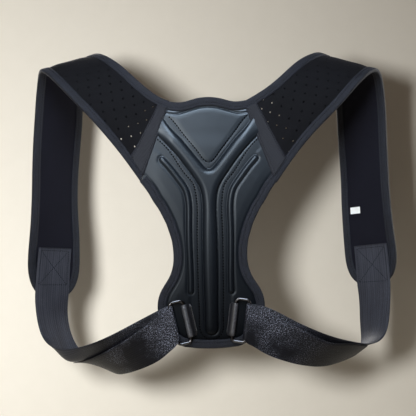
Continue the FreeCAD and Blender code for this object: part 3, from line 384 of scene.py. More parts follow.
class Thread:
    """Rows of short stitch bodies gathered into one piece."""

    def __init__(self):
        self.points, self.stations = [], []

    def sew(self, path, normal, *, pitch, length, radius, sink=0.1, station=0.0):
        """Adds a row along path; station is the strap station of each path point."""
        arc = arc_length(path)
        middles = np.arange(pitch / 2, arc[-1] - pitch / 3, pitch)
        up = unit(resample(np.broadcast_to(normal, path.shape), arc, middles))
        reach = 0.6
        forward = unit(resample(path, arc, middles + reach) - resample(path, arc, middles - reach))
        sideways = unit(np.cross(forward, up))
        centre = resample(path, arc, middles) - up * sink
        body = []
        for along, fat, rise in STITCH_RINGS:
            for i in range(STITCH_SIDES):
                angle = 2 * math.pi * i / STITCH_SIDES
                body.append(centre + forward * (along * length)
                            + sideways * (math.cos(angle) * radius * fat)
                            + up * ((math.sin(angle) * fat + rise * 0.8) * radius))
        self.points.append(np.stack(body, axis=1).reshape(-1, 3))
        places = np.interp(middles, arc, np.broadcast_to(station, arc.shape))
        self.stations.append(np.repeat(places, STITCH_POINTS))

    def make(self, name, material, replaces=()):
        points = np.concatenate(self.points)
        starts = np.arange(0, len(points), STITCH_POINTS)
        faces = (STITCH_FACES + starts[:, None, None]).reshape(-1, 4)
        return piece(name, points, faces, material, np.zeros((len(points), 2)), replaces)

    def make_at_seam(self, side, name, material):
        obj = self.make(side.name + name, material)
        bend_at_seam(obj, side, np.concatenate(self.stations))


# ------------------------------------------------------------------ shader helpers
class Value:
    """A node output. Arithmetic on it adds math nodes."""

    def __init__(self, shader, socket):
        self.shader, self.socket = shader, socket

    def apply(self, operation, *others):
        inputs = dict(enumerate((self, *others)))
        return self.shader.node("Math", inputs, operation=operation)

    def __add__(self, other):
        return self.apply("ADD", other)

    def __sub__(self, other):
        return self.apply("SUBTRACT", other)

    def __rsub__(self, other):
        return self.shader.node("Math", {0: other, 1: self}, operation="SUBTRACT")

    def __mul__(self, other):
        return self.apply("MULTIPLY", other)

    def __truediv__(self, other):
        return self.apply("DIVIDE", other)

    def clamped(self):
        """Limits the math node behind this value to 0..1."""
        self.socket.node.use_clamp = True
        return self

    def scaled(self, factor, offset):
        return self.apply("MULTIPLY_ADD", factor, offset)

    def between(self, low, high):
        """Maps 0..1 to low..high."""
        return self.scaled(high - low, low)

    def rise(self, start, span):
        """0 up to start, then a straight climb to 1 over span."""
        return ((self - start) / span).clamped()

    def wave(self, pitch):
        return (self * (2 * math.pi / pitch)).apply("SINE")

    def ribs(self, pitch):
        return self.wave(pitch).scaled(0.5, 0.5)


class Shader:
    """A material under construction."""

    INPUTS = {"color": "Base Color", "rough": "Roughness", "metal": "Metallic",
              "normal": "Normal", "sheen": "Sheen Weight", "sheen_rough": "Sheen Roughness",
              "sheen_tint": "Sheen Tint", "spec": "Specular IOR Level", "tint": "Specular Tint"}

    def __init__(self, name):
        self.material = bpy.data.materials.new(name)
        self.material.use_nodes = True
        self.tree = self.material.node_tree
        self.tree.nodes.clear()
        self.place = self.node("TexCoord", output="Object")

    def node(self, kind, inputs=None, output=0, **settings):
        """Adds a node; each input is a value, a number, a colour or None for its default."""
        node = self.tree.nodes.new("ShaderNode" + kind)
        for key, setting in settings.items():
            setattr(node, key, setting)
        for key, value in (inputs or {}).items():
            if isinstance(value, Value):
                self.tree.links.new(value.socket, node.inputs[key])
            elif isinstance(value, tuple):
                node.inputs[key].default_value = (*value, 1)
            elif value is not None:
                node.inputs[key].default_value = value
        return Value(self, node.outputs[output])

    def uv(self):
        """Distance along and across the piece, in metres."""
        along = self.node("SeparateXYZ", {0: self.node("UVMap", uv_map="UVMap")})
        return along, Value(self, along.socket.node.outputs[1])

    def noise(self, scale, detail=2.0, rough=0.5, place=None):
        return self.node("TexNoise", {"Scale": scale, "Detail": detail, "Roughness": rough,
                                      "Vector": place or self.place})

    def wobble(self, scale, size):
        return (self.noise(scale) - 0.5) * size

    def cells(self, scale, output="Distance"):
        return self.node("TexVoronoi", {"Scale": scale, "Vector": self.place}, output)

    def mix(self, factor, first, second):
        return self.node("Mix", {0: factor, 6: first, 7: second}, 2, data_type="RGBA")

    def bump(self, height, strength, distance, normal=None):
        return self.node("Bump", {"Strength": strength, "Distance": distance,
                                  "Height": height, "Normal": normal})

    def finish(self, opaque=None, clear=None, **inputs):
        """Ends in a principled surface, see-through where opaque is 0 or clear is 1."""
        inputs = {self.INPUTS[key]: value for key, value in inputs.items()}
        surface = self.node("BsdfPrincipled", inputs)
        if opaque is not None:
            glass = self.node("BsdfTransparent")
            surface = self.node("MixShader", {0: opaque, 1: glass, 2: surface})
        if clear is not None:
            glass = self.node("BsdfTransparent")
            surface = self.node("MixShader", {0: clear, 1: surface, 2: glass})
        output = self.tree.nodes.new("ShaderNodeOutputMaterial")
        self.tree.links.new(surface.socket, output.inputs["Surface"])
        return self.material


def weave(along, across, pitch_along, pitch_across):
    """Plain weave height from two crossed sine waves, 0..1."""
    return (along.wave(pitch_along) * across.wave(pitch_across)).scaled(0.5, 0.5)


# ------------------------------------------------------------------ materials
CLOTH_TINT = (0.5, 0.55, 0.7)


def leather():
    shader = Shader("moulded_skin")
    grain = shader.cells(scale=1500)
    fine = shader.noise(scale=2600, detail=3, rough=0.6)
    broad = shader.noise(scale=14, detail=3)
    height = grain * 0.6 + fine * 0.5
    tone = shader.mix(broad * 1.0, (0.0075, 0.0102, 0.0145), (0.0110, 0.0146, 0.0200))
    tone = shader.mix((1.0 - grain).clamped() * 0.18, tone, (0.006, 0.007, 0.009))
    # tone and gloss fall away towards the hem, as the light fades down the panel
    z = shader.node("SeparateXYZ", {0: shader.place}, output=2)
    upward = ((z + 0.15) / 0.27).clamped()
    hem_tone = shader.mix(broad, (0.0018, 0.0021, 0.0030), (0.0032, 0.0037, 0.0048))
    swell = shader.bump(broad, strength=0.06, distance=0.002)
    return shader.finish(
        color=shader.mix(upward, hem_tone, tone),
        rough=shader.noise(scale=60, detail=3).between(0.31, 0.38),
        spec=upward.scaled(0.34, 0.10), tint=(0.80, 0.90, 1.0),
        normal=shader.bump(height, strength=0.09, distance=0.00020, normal=swell))


def woven(name, dark, light, pitches, rough, strength, sheen, spec):
    """Woven tape or cloth laid out along the piece's own length and width."""
    shader = Shader(name)
    along, across = shader.uv()
    wobble = shader.wobble(scale=180, size=0.0006)
    cloth = weave(along + wobble, across + wobble, *pitches)
    speck = shader.node("SeparateColor", {0: shader.cells(scale=700, output="Color")})
    broad = shader.noise(scale=45, detail=3)
    blend = speck.scaled(0.5, cloth * 0.5)
    blend = (blend * broad.between(0.7, 1.3)).clamped()
    height = cloth + shader.noise(scale=2200) * 0.3
    return shader.finish(
        color=shader.mix(blend, dark, light), rough=speck.between(*rough), spec=spec,
        sheen=sheen, sheen_rough=0.4, sheen_tint=CLOTH_TINT,
        normal=shader.bump(height, strength=strength, distance=0.0005))


def elastic():
    """Fine crossed weave and long faint stripes, with painted glints of shiny yarns as pale flecks
    mostly near the ring, and painted shade darkening the runs beside the ring.
    """
    shader = Shader("elastic_webbing")
    along, across = shader.uv()
    streaks = shader.node("CombineXYZ", {0: along * 12.0, 1: across * 330.0})
    stripe = shader.noise(scale=1.0, detail=3, rough=0.6, place=streaks)
    cloth = weave(along, across, 0.0026, 0.0019)
    ribs = across.ribs(0.0030)
    grains = shader.node("CombineXYZ", {0: along * 640.0, 1: across * 900.0})
    spark = shader.noise(scale=1.0, rough=0.7, place=grains)
    patchy = shader.noise(scale=26, detail=3)
    # painted glints: pale flecks set into the colour, thickest near the ring
    painted_glint = ((spark - 0.53) * 9.0).clamped() * ((patchy - 0.36) * 4.0).clamped()
    base = cloth.scaled(0.30, stripe.scaled(0.55, ribs * 0.12))
    blend = ((base - 0.22) * 1.5).clamped()
    low = along.rise(start=0.165, span=0.05)  # 1 on the runs beside the ring; these get the painted shade
    near = along.rise(start=0.215, span=0.07)
    past = 1.0 - along.rise(start=0.385, span=0.06)
    near = near * past
    # painted shade: the same tape in a lit tone and a darker shaded tone
    pale = shader.mix(blend, (0.006, 0.0064, 0.0095), (0.062, 0.066, 0.088))
    shaded_tone = shader.mix(blend, (0.0010, 0.0011, 0.0019), (0.010, 0.0105, 0.0160))
    color = shader.mix(low, pale, shaded_tone)
    color = shader.mix(painted_glint * near.scaled(0.62, 0.06), color, (0.42, 0.44, 0.55))
    height = cloth * 0.6 + (spark * 0.9 + ribs * 0.3)
    return shader.finish(color=color, rough=spark.between(0.34, 0.62), spec=0.18,
                         normal=shader.bump(height, strength=0.7, distance=0.0005))


def grosgrain():
    """Ribs across the tape's length."""
    shader = Shader("joining_grosgrain")
    along, across = shader.uv()
    ribs = (along + shader.wobble(scale=150, size=0.0004)).ribs(0.0016)
    yarns = across.ribs(0.0006)
    broad = shader.noise(scale=60, detail=3)
    blend = (ribs.scaled(0.75, yarns * 0.25) * broad.between(0.6, 1.4)).clamped()
    return shader.finish(
        color=shader.mix(blend, (0.0030, 0.0030, 0.0045), (0.017, 0.018, 0.026)),
        rough=broad.between(0.45, 0.6), spec=0.22,
        sheen=0.04, sheen_rough=0.35, sheen_tint=CLOTH_TINT,
        normal=shader.bump(ribs + yarns * 0.25, strength=0.6, distance=0.0004))


# Holes in the strap cloths: one hole's place in mm, and the two steps of the lattice in metres
HOLE_ORIGINS = {"left": (29.0, -19.0), "right": (34.0, -24.2)}
HOLE_STEPS = (0.0070, 0.0117), (-0.0083, 0.0067)


def hole_field(along, across, origin):
    """Distance in metres from the nearest hole centre; the holes stand on a slanted lattice."""
    (step_x, step_y), (other_x, other_y) = HOLE_STEPS
    area = step_x * other_y - other_x * step_y
    x = along - origin[0] * MM
    y = across - origin[1] * MM
    steps = x * (other_y / area) + y * (-other_x / area)
    others = x * (-step_y / area) + y * (step_x / area)
    steps = (steps + 0.5).apply("FRACT") - 0.5
    others = (others + 0.5).apply("FRACT") - 0.5
    x = steps * step_x + others * other_x
    y = steps * step_y + others * other_y
    return (x * x + y * y).apply("SQRT")


def perforated(name, origin):
    """Outer strap cloth punched with small holes."""
    hole = 0.00078
    knit = 0.0011
    shader = Shader(name)
    along, across = shader.uv()
    radius = hole_field(along, across, origin)
    rim = radius.rise(start=hole, span=0.0006)
    cloth = weave(along, across, knit, knit * 0.8)
    broad = shader.noise(scale=30, detail=4)
    mottle = cloth * 0.6 + shader.noise(scale=900) * 0.5
    blend = (mottle * broad.between(0.5, 1.5)).clamped()
    tone = shader.mix(blend, (0.0014, 0.0014, 0.0019), (0.0060, 0.0060, 0.0078))
    return shader.finish(
        opaque=radius.apply("GREATER_THAN", hole),
        # painted shade: a darker ring just round each hole's edge
        color=shader.mix(rim, (0.002, 0.002, 0.0025), tone),
        rough=broad.between(0.72, 0.9), spec=0.10,
        sheen=0.03, sheen_rough=0.5, sheen_tint=(0.5, 0.5, 0.65),
        normal=shader.bump(rim * 2.0 + cloth * 0.2, strength=0.6, distance=0.0005))


def strap_lining(name, origin):
    """Smooth knit; its holes are open near the shoulder seam only, in line with the outer cloth's."""
    knit = 0.0011
    shader = Shader(name)
    along, across = shader.uv()
    radius = hole_field(along, across, origin)
    cloth = weave(along, across, knit, knit)
    broad = shader.noise(scale=25, detail=4)
    nap = shader.noise(scale=700, detail=3, rough=0.6)
    blend = ((cloth * 0.4 + nap * 0.6) * broad.between(0.5, 1.5)).clamped()
    rim = radius.rise(start=0.0009, span=0.0005)
    height = cloth * 0.3 + (nap * 0.4 + rim * 0.8)
    near_seam = along.apply("LESS_THAN", 0.0355)
    in_hole = radius.apply("LESS_THAN", 0.0017)
    return shader.finish(
        opaque=1.0 - near_seam * in_hole,
        color=shader.mix(blend, (0.003, 0.003, 0.0055), (0.0075, 0.0075, 0.0135)),
        rough=nap.between(0.7, 0.9), spec=0.12,
        sheen=0.03, sheen_rough=0.45, sheen_tint=(0.5, 0.5, 0.8),
        normal=shader.bump(height, strength=0.35, distance=0.0004))


def keeper_cloth():
    """Glossy dark tape, with a highlight painted in pale grey where it wraps the ring's bar."""
    wrap_start, wrap_end, fade = 0.0085, 0.0175, 0.0015
    shader = Shader("keeper_tape")
    along, across = shader.uv()
    ribs = across.ribs(0.0017)
    fray = shader.noise(scale=420, detail=3, rough=0.7)
    wrap = along.rise(wrap_start, fade) * ((wrap_end - along) / fade).clamped()
    # painted highlight along the wrap, given a ragged edge by the noise
    wrap_highlight = wrap * ((fray + ribs * 0.25 - 0.42) * 3.4).clamped()
    dark = shader.mix(ribs, (0.004, 0.004, 0.0055), (0.014, 0.0145, 0.019))
    return shader.finish(color=shader.mix(wrap_highlight, dark, (0.075, 0.076, 0.086)),
                         rough=fray.between(0.26, 0.45), spec=0.6,
                         normal=shader.bump(ribs + fray * 0.7, strength=0.4, distance=0.0004))


def nickel():
    shader = Shader("ring_nickel")
    scratch = shader.noise(scale=900, detail=4, rough=0.7)
    wear = shader.noise(scale=70, detail=4)
    return shader.finish(color=shader.mix(wear, (0.055, 0.055, 0.06), (0.12, 0.12, 0.13)),
                         metal=1.0, rough=scratch.between(0.12, 0.28),
                         normal=shader.bump(scratch, strength=0.05, distance=0.0001))


def thread(name, colour, rough, spec):
    shader = Shader(name)
    twist = shader.noise(scale=2400)
    pale = tuple(channel * 1.5 for channel in colour)
    return shader.finish(color=shader.mix(twist, colour, pale), spec=spec,
                         rough=twist.between(rough, min(rough + 0.15, 1.0)),
                         normal=shader.bump(twist, strength=0.3, distance=0.0002))


def satin():
    shader = Shader("label_satin")
    cloth = weave(*shader.uv(), 0.0007, 0.0007)
    mottle = shader.noise(scale=200, detail=3)
    return shader.finish(color=shader.mix(mottle, (0.74, 0.74, 0.72), (0.86, 0.86, 0.84)),
                         rough=cloth.between(0.45, 0.6), sheen=0.2,
                         normal=shader.bump(cloth, strength=0.3, distance=0.0002))


def wall_paint():
    """Matt wall, clear from behind."""
    shader = Shader("studio_wall")
    grain = shader.noise(scale=40, detail=5, rough=0.6)
    return shader.finish(
        clear=shader.node("NewGeometry", output="Backfacing"),
        color=shader.mix(grain, (0.70, 0.675, 0.61), (0.74, 0.715, 0.65)),
        rough=0.85, spec=0.15, normal=shader.bump(grain, strength=0.05, distance=0.002))


LEATHER = leather()
TAPE = woven("edge_tape", dark=(0.0022, 0.0025, 0.0040), light=(0.019, 0.021, 0.031),
             pitches=(0.0022, 0.0018), rough=(0.55, 0.75), strength=0.7, sheen=0.05, spec=0.22)
GROSGRAIN = grosgrain()
LININGS = {name: strap_lining("strap_lining_" + name, origin)
           for name, origin in HOLE_ORIGINS.items()}
BACK_CLOTH = woven("panel_lining", dark=(0.008, 0.008, 0.010), light=(0.024, 0.024, 0.029),
                   pitches=(0.0022, 0.0022), rough=(0.7, 0.9), strength=0.6, sheen=0.1, spec=0.2)
ELASTIC = elastic()
KEEPER = keeper_cloth()
STRAP_CLOTHS = {name: perforated("strap_cloth_" + name, origin)
                for name, origin in HOLE_ORIGINS.items()}
NICKEL = nickel()
BLACK_THREAD = thread("black_thread", (0.0006, 0.0006, 0.0008), rough=0.9, spec=0.03)
NAVY_THREAD = thread("navy_thread", (0.0020, 0.0022, 0.0034), rough=0.7, spec=0.12)
SATIN = satin()
FOAM_EDGE = thread("foam_edge", (0.01, 0.01, 0.012), rough=0.8, spec=0.25)

# ------------------------------------------------------------------ panel
SEAM_CORNER = NECK[-1]
PANEL_TOP = SEAM_CORNER[1]
PANEL_FOOT = -160.4
PANEL_INSET = 1.2  # the cloths stop this far inside the edge tape
SIDE_LINE = through(SIDE, 1.5)
NECK_LINE = through(NECK, 1.0)
HEM_LINE = through(HEM, 1.0)
HALF_OUTLINE = np.vstack([SIDE_LINE[::-1], SEAM_CORNER])
Y_OUTLINE = np.vstack([through(Y_UPPER, 1.5), through(Y_LOWER, 1.5)])
V_OUTLINE = np.vstack([(-0.01, ARC[-1][1]), through(ARC[::-1], 2), through(V_STITCH, 2)])


def mirrored(points):
    return [(-x, z) for x, z in reversed(points)]


def line_gap(line, x, z):
    """Distance from each (|x|, z) to a chain of points."""
    best = np.full(x.shape, 1e9)
    x = np.abs(x)
    for start, end in zip(line[:-1], line[1:]):
        run = end - start
        share = ((x - start[0]) * run[0] + (z - start[1]) * run[1]) / (run @ run)
        share = np.clip(share, 0, 1)
        gap = np.hypot(x - start[0] - share * run[0], z - start[1] - share * run[1])
        best = np.minimum(best, gap)
    return best


def curve_gap(points, x, z):
    return line_gap(through(points, 2.0), x, z)


def edge_gap(x, z):
    """Distance inwards from the panel's side and hem."""
    return line_gap(np.vstack([SIDE_LINE, HEM_LINE[1:]])[::2], x, z)


def inside(outline, x, z):
    """Whether each (|x|, z) is inside the closed half outline."""
    x = np.abs(x)
    odd = np.zeros(x.shape, bool)
    for (x0, z0), (x1, z1) in zip(outline, np.roll(outline, -1, axis=0)):
        if z0 != z1:
            odd ^= ((z0 > z) != (z1 > z)) & (x < (x1 - x0) * (z - z0) / (z1 - z0) + x0)
    return odd


def neck_height(x):
    return np.interp(np.abs(x), *NECK_LINE.T)


def groove(gap, width):
    return np.exp(-(gap / width) ** 2)


def relief(x, z):
    """Height of the moulded skin in front of its base plane."""
    # raised Y
    upper_gap, lower_gap = curve_gap(Y_UPPER, x, z), curve_gap(Y_LOWER, x, z)
    in_y = inside(Y_OUTLINE, x, z)
    off_y = ~in_y
    climb = np.clip(np.minimum(upper_gap, lower_gap) / 8.6, 0, 1)
    ridge = 5.2 * np.sqrt(np.clip(1 - (1 - climb) ** 2.2, 0, 1))
    height = np.where(in_y, ridge, -0.9 * groove(lower_gap, 1.2) - 0.6 * groove(upper_gap, 1.1))
    # triangular pad and its arc
    v_gap, arc_gap = curve_gap(V_STITCH, x, z), curve_gap(ARC, x, z)
    in_v = inside(V_OUTLINE, x, z) & off_y
    height += np.where(in_v, 0.35 + 0.30 * smooth(np.minimum(v_gap, arc_gap), 0, 7), 0)
    height -= 0.2 * groove(v_gap, 1.2) * off_y
    above_arc = (z > np.interp(np.abs(x), *np.array(ARC[::-1]).T)) & (np.abs(x) < 54)
    height += np.where(above_arc & off_y, -0.7 + 0.7 * smooth(arc_gap, 0, 4), 0)
    height -= 1.1 * groove(arc_gap, 1.1) * off_y
    # stitched row beside the ridge
    row_gap = curve_gap(ROW, x, z)
    height -= 0.12 * groove(row_gap, 1.2) * off_y
    # side ribs
    rib_gap = curve_gap(RIB, x, z)
    height += 2.4 * np.clip(1 - (rib_gap / 4.0) ** 2, 0, 1) ** 0.8
    height -= 0.28 * groove(rib_gap - 4.4, 0.7)
    # padded crown of the side areas, pulled down at the bindings
    edge = edge_gap(x, z)
    crown = smooth(edge, 11.0, 24.0) * smooth(row_gap, 9, 14) * smooth(rib_gap, 4, 8) * off_y
    height += 0.5 * crown * (1 - smooth(z, 95, 118))
    height -= 1.0 * (1 - smooth(edge, 10.5, 15.0)) * off_y
    # pulled in at the shoulder seam and the neck
    across_seam = unit(np.array([105.0, 38.2]))
    seam_gap = -((np.abs(x) - SEAM_CORNER[0]) * across_seam[0]
                 + (z - SEAM_CORNER[1]) * across_seam[1])
    height = height * (0.45 + 0.55 * smooth(seam_gap, -1.0, 24.0)) + 0.2
    height -= 0.6 * (1 - smooth(neck_height(x) - z, 11.0, 14.0)) * (np.abs(x) < 52)
    return height


def front_y(x, z):
    return -6.0 - relief(x, z)


def on_panel(line, y):
    """Lifts (x, z) points to depth y."""
    return np.stack([line[:, 0], np.broadcast_to(y, len(line)), line[:, 1]], axis=1)


def panel_grid(columns, rows):
    level = np.linspace(PANEL_FOOT, PANEL_TOP, rows)
    half = np.interp(level, HALF_OUTLINE[:, 1], HALF_OUTLINE[:, 0])
    half = half - PANEL_INSET * (1 - smooth(level, 48.0, 56.0))
    x = np.linspace(-1, 1, columns)[None, :] * half[:, None]
    hem = np.interp(np.abs(x), *HEM_LINE[::-1].T)
    hem_shift = (hem + PANEL_INSET - PANEL_FOOT) * smooth(-level, 132, -PANEL_FOOT)[:, None]
    neck_shift = neck_height(x) - PANEL_INSET - PANEL_TOP
    z = level[:, None] + hem_shift + neck_shift * smooth(level, 135, PANEL_TOP)[:, None]
    return x, z


def panel_skin():
    columns, rows = int(190 * DETAIL), int(340 * DETAIL)
    x, z = panel_grid(columns, rows)
    skin = piece("panel_skin", np.stack([x, front_y(x, z), z], -1), quads(rows, columns), LEATHER,
                 np.stack([x, z], -1),
                 ["panel_shell", "y_support_plate", "panel_foam"])
    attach(skin, "panel")


def panel_back():
    """Lining against the wearer's back, quilted in soft upright channels."""
    columns, rows = 90, 170
    channel_pitch = 24
    x, z = panel_grid(columns, rows)
    channel_gap = np.abs((x + 300) % channel_pitch - channel_pitch / 2)
    y = -0.9 + 0.9 * smooth(edge_gap(x, z), 9, 20) - 0.5 * groove(channel_gap, 1.1)
    y = np.minimum(y, -0.02)
    back = piece("panel_back_cloth", np.stack([x, y, z], -1), quads(rows, columns, flip=True),
                 BACK_CLOTH, np.stack([x, z], -1), ["panel_lining"])
    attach(back, "panel")


STITCH_PITCH = 3.4  # along every edge tape
STITCHED_COLUMN = 3  # profile point that dips at each stitch
# Panel edge tape. Front: (distance inwards, lift over the panel's face); back: (inwards, y)
BAND_FRONT = [(11.6, -1.2), (11.5, 0.0), (8.2, 0.0), (7.5, -0.28), (6.8, 0.0), (2.2, 0.0),
              (0.9, -0.35), (0.2, -1.3)]
BAND_BACK = [(0.0, -3.6), (0.2, -1.3), (0.9, -0.4), (2.2, -0.12), (11.4, -0.12), (11.5, -1.1)]


def panel_band(name, points, replaced):
    """Edge tape folded round the panel along points. Gives the path of its stitches."""
    line = through(points, 2.4)
    line = np.concatenate([line[:1] + (line[:1] - line[1:2]) * 0.8, line,
                           line[-1:] + (line[-1:] - line[-2:-1]) * 0.8])
    arc = arc_length(line)
    along = unit(np.gradient(line, axis=0))
    inward = np.stack([along[:, 1], -along[:, 0]], axis=1)
    face = 6.15 + 0.9 * smooth(np.minimum(arc, arc[-1] - arc), 0, 18)
    pull = 0.12 * np.sin(arc * 2 * math.pi / STITCH_PITCH)
    columns, across = [], []
    for i, (reach, lift) in enumerate(BAND_FRONT):
        y = -(face + lift - pull * (i == STITCHED_COLUMN))
        columns.append(on_panel(line + inward * reach, y))
        across.append(12.0 - reach)
    for reach, y in BAND_BACK:
        columns.append(on_panel(line + inward * reach, y))
        across.append(17.6 + reach)
    band = piece(name, np.stack(columns, axis=1), quads(len(line), len(columns), flip=True), TAPE,
                 uv_grid(arc, across), replaced)
    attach(band, "panel")
    return on_panel(line + inward * BAND_FRONT[STITCHED_COLUMN][0], -(face - 0.15))


def panel_bindings():
    paths = [
        panel_band("neck_binding_tape", mirrored(NECK)[:-1] + NECK, ["neck_binding"]),
        panel_band("side_binding_tape",
                   SIDE[:-1] + HEM[:-1] + mirrored(HEM) + mirrored(SIDE)[1:],
                   ["left_side_binding", "right_side_binding", "hem_binding"])]
    rows = Thread()
    for path in paths:
        rows.sew(path, FRONT, pitch=STITCH_PITCH, length=2.4, radius=0.40)
    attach(rows.make("panel_binding_thread", NAVY_THREAD), "panel")


def skin_stitches():
    rows = Thread()
    for points in (ROW, V_STITCH):
        for sign in (1, -1):
            line = through(points, 1.5) * (sign, 1)
            path = on_panel(line, front_y(line[:, 0], line[:, 1]) - 0.5)
            rows.sew(path, FRONT, pitch=3.7, length=2.4, radius=0.85, sink=0.0)
    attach(rows.make("panel_skin_thread", BLACK_THREAD), "panel")


panel_skin()
panel_back()
panel_bindings()
skin_stitches()

# ------------------------------------------------------------------ the two sides
RING_Y = -11.0
RING_REACH = 18.0  # from the ring's centre to its outer bar


class Side:
    """One side's ribbons, its fold line on the panel and the pose of its ring."""

    def __init__(self, name, sign, pad, web, tail, fold, ring_x, ring_z, lean, turn):
        self.name, self.sign, self.loop = name, sign, name + "_loop"
        foot, head = np.array(fold)
        up = unit(head - foot)
        self.fold_foot = foot
        self.outboard = unit(np.array([sign, 0, 0]) - up * (sign * up[0]))
        self.strap = Ribbon(pad, 5.0, FRONT)
        self.web = Ribbon(web, 20.0, -self.strap.normal(self.strap.length - 40.0))
        self.tail = Ribbon(tail, 60.0, self.web.normal(self.web.length - 50.0))
        self.web_cut = [self.crossing(self.web, share, -1) for share in (0.0, 1.0)]
        self.tail_cut = [self.crossing(self.tail, share, 0) for share in (0.0, 1.0)]
        self.ring = np.array([ring_x, RING_Y, ring_z])
        self.ring_turn = turn
        lean = math.radians(lean)
        self.ring_up = np.array([math.sin(lean), 0, math.cos(lean)])
        self.ring_out = np.array([self.ring_up[2] * sign, 0, -self.ring_up[0] * sign])

    def fold_gap(self, points):
        """Distance outboard of the upright plane through the fold line."""
        return (points - self.fold_foot) @ self.outboard

    def loop_weight(self, points):
        return smooth(self.fold_gap(points), 1.0, 45.0)

    def crossing(self, ribbon, share, which):
        """Station where a ribbon crosses the fold plane: its first (0) or last (-1) crossing."""
        station = np.linspace(0, ribbon.length, 3000)
        gap = self.fold_gap(ribbon.at(station, share))
        return station[np.nonzero(gap[:-1] * gap[1:] <= 0)[0][which]]


SIDES = [
    Side("left", -1.0, LEFT_PAD, LEFT_WEB, LEFT_TAIL, fold=((-72, -12, -140), (-80, -3.4, 118)),
         ring_x=-31.7, ring_z=-126.5, lean=-12.0, turn=5.0),
    Side("right", 1.0, RIGHT_PAD, RIGHT_WEB, RIGHT_TAIL, fold=((74, -12.3, -140), (79, -3.4, 118)),
         ring_x=28.9, ring_z=-125.5, lean=7.5, turn=8.0),
]

# ------------------------------------------------------------------ straps
ROUND = 54.0  # length of the strap's rounded end
ROUND_SHARES = np.array([0.12, 0.24, 0.36, 0.48, 0.59, 0.69, 0.78, 0.86, 0.92, 0.96, 0.985])
JOINING_INSET = 9.9  # from the strap's edges to the ends of the joining tape
# Strap edge tape: distance inwards, lift over the middle, whether it rises with the seam
STRAP_PROFILE = [
    (10.9, 1.7, 0), (10.6, 2.75, 1), (8.0, 2.85, 1), (7.3, 2.58, 1), (6.6, 2.88, 1),
    (2.4, 2.95, 1), (1.0, 2.7, 1), (0.2, 1.9, 1), (-0.1, 0.0, 0), (0.1, -1.9, 0),
    (0.9, -2.75, 0), (2.4, -3.0, 0), (6.6, -2.95, 0), (7.3, -2.7, 0), (8.0, -2.9, 0),
    (10.5, -2.8, 0), (10.8, -1.9, 0)]
STRAP_PROFILE_FOLD = 9  # first profile point past the outer edge


def half_share(strap, station, back=0.0):
    """Half width as a share of the full width, kept back from the edge and rounded at the end."""
    full = 0.5 - back / strap.width(station)
    run = np.clip((station - (strap.length - ROUND)) / (ROUND - back), 0, 1)
    return full * np.clip(1 - run ** 2.5, 0, 1) ** 0.4


def strap_cloth(side, name, material, outer, replaced):
    """One face of the padded strap, crowned between its bindings."""
    strap = side.strap
    straight = strap.length - ROUND
    rows = np.r_[np.linspace(-0.6, straight, int(150 * DETAIL)), straight + ROUND * ROUND_SHARES]
    station, across = np.meshgrid(rows, np.linspace(-1, 1, 27), indexing="ij")
    half = half_share(strap, rows, 1.0)[:, None]
    width = strap.width(rows)[:, None]
    share = 0.5 + half * across
    cross = (share - 0.5) * width
    rim = np.minimum(half * width * (1 - np.abs(across)), strap.length - station)
    crown = smooth(rim, 7.5, 24)
    waves = (0.22 * np.sin(station / 17.0 + cross / 23.0) * np.sin(station / 41.0 + 1.3)
             + 0.12 * np.sin(station / 7.3 - cross / 9.0))
    if outer:
        lift = 1.75 + 1.55 * crown + waves * crown + 0.5 * (1 - smooth(station, 0, 10))
    else:
        lift = -(1.95 + 0.85 * crown + 0.6 * waves * crown)
    obj = piece(side.name + name, strap.at(station, share, lift),
                quads(*station.shape, flip=(strap.sign > 0) == outer), material,
                np.stack([station, cross], -1), [side.name + replaced])
    bend_at_seam(obj, side, station)


def strap_outline(strap, step=4.0):
    """Along one edge, round the end and back. Gives station, mm across and inward directions."""
    straight = strap.length - ROUND
    count = int(straight / step)
    run = 1 - (1 - np.linspace(0, 1, 30)[1:]) ** 1.9
    one_way = np.r_[np.linspace(-0.8, straight, count), straight + ROUND * run]
    edge = -half_share(strap, one_way) * strap.width(one_way)
    station, cross = np.r_[one_way, one_way[::-1][1:]], np.r_[edge, -edge[::-1][1:]]
    index, middle = np.arange(len(station)), (len(station) - 1) / 2
    on_straight = np.abs(index - middle) >= middle - count + 1
    heading = np.where(index < len(station) / 2, 1.0, -1.0)
    station_step = np.where(on_straight, heading, np.gradient(station))
    cross_step = np.where(on_straight, 0, np.gradient(cross))
    size = np.hypot(station_step, cross_step)
    return station, cross, -cross_step / size, station_step / size


def strap_band(side):
    strap = side.strap
    station, cross, in_station, in_cross = strap_outline(strap)
    base = strap.at(station, cross / strap.width(station) + 0.5)
    inner_station, inner_cross = station + in_station * 10.5, cross + in_cross * 10.5
    inner = strap.at(inner_station, inner_cross / strap.width(inner_station) + 0.5)
    inward = unit(inner - base)
    up = strap.normal(np.minimum(station + in_station * 5, strap.length))
    up = unit(up - inward * (up * inward).sum(1, keepdims=True)) if False else unit(
        up - inward * (up * inward).sum(1, keepdims=True))
    arc = arc_length(base)
    pull = 0.10 * np.sin(arc * 2 * math.pi / STITCH_PITCH)
    seam_lift = 0.55 * (1 - smooth(station, 0, 10))
    columns, across = [], []
    for i, (reach, height, rises) in enumerate(STRAP_PROFILE):
        lift = height + seam_lift * rises - pull * (i == STITCHED_COLUMN)
        columns.append(base + inward * reach + up * lift[:, None])
        across.append(11 - reach if i < STRAP_PROFILE_FOLD else 13 + reach)
    obj = piece(side.name + "_strap_binding_tape", np.stack(columns, axis=1),
                quads(len(base), len(columns), flip=strap.sign > 0), TAPE,
                uv_grid(arc, across), [side.name + "_strap_binding"])
    bend_at_seam(obj, side, np.repeat(station, len(columns)))
    row = base + inward * STRAP_PROFILE[STITCHED_COLUMN][0]
    rows = Thread()
    for path, normal in ((row + up * (2.72 + seam_lift)[:, None], up), (row - up * 2.78, -up)):
        rows.sew(path, normal, pitch=STITCH_PITCH, length=2.4, radius=0.38, station=station)
    rows.make_at_seam(side, "_strap_thread", NAVY_THREAD)


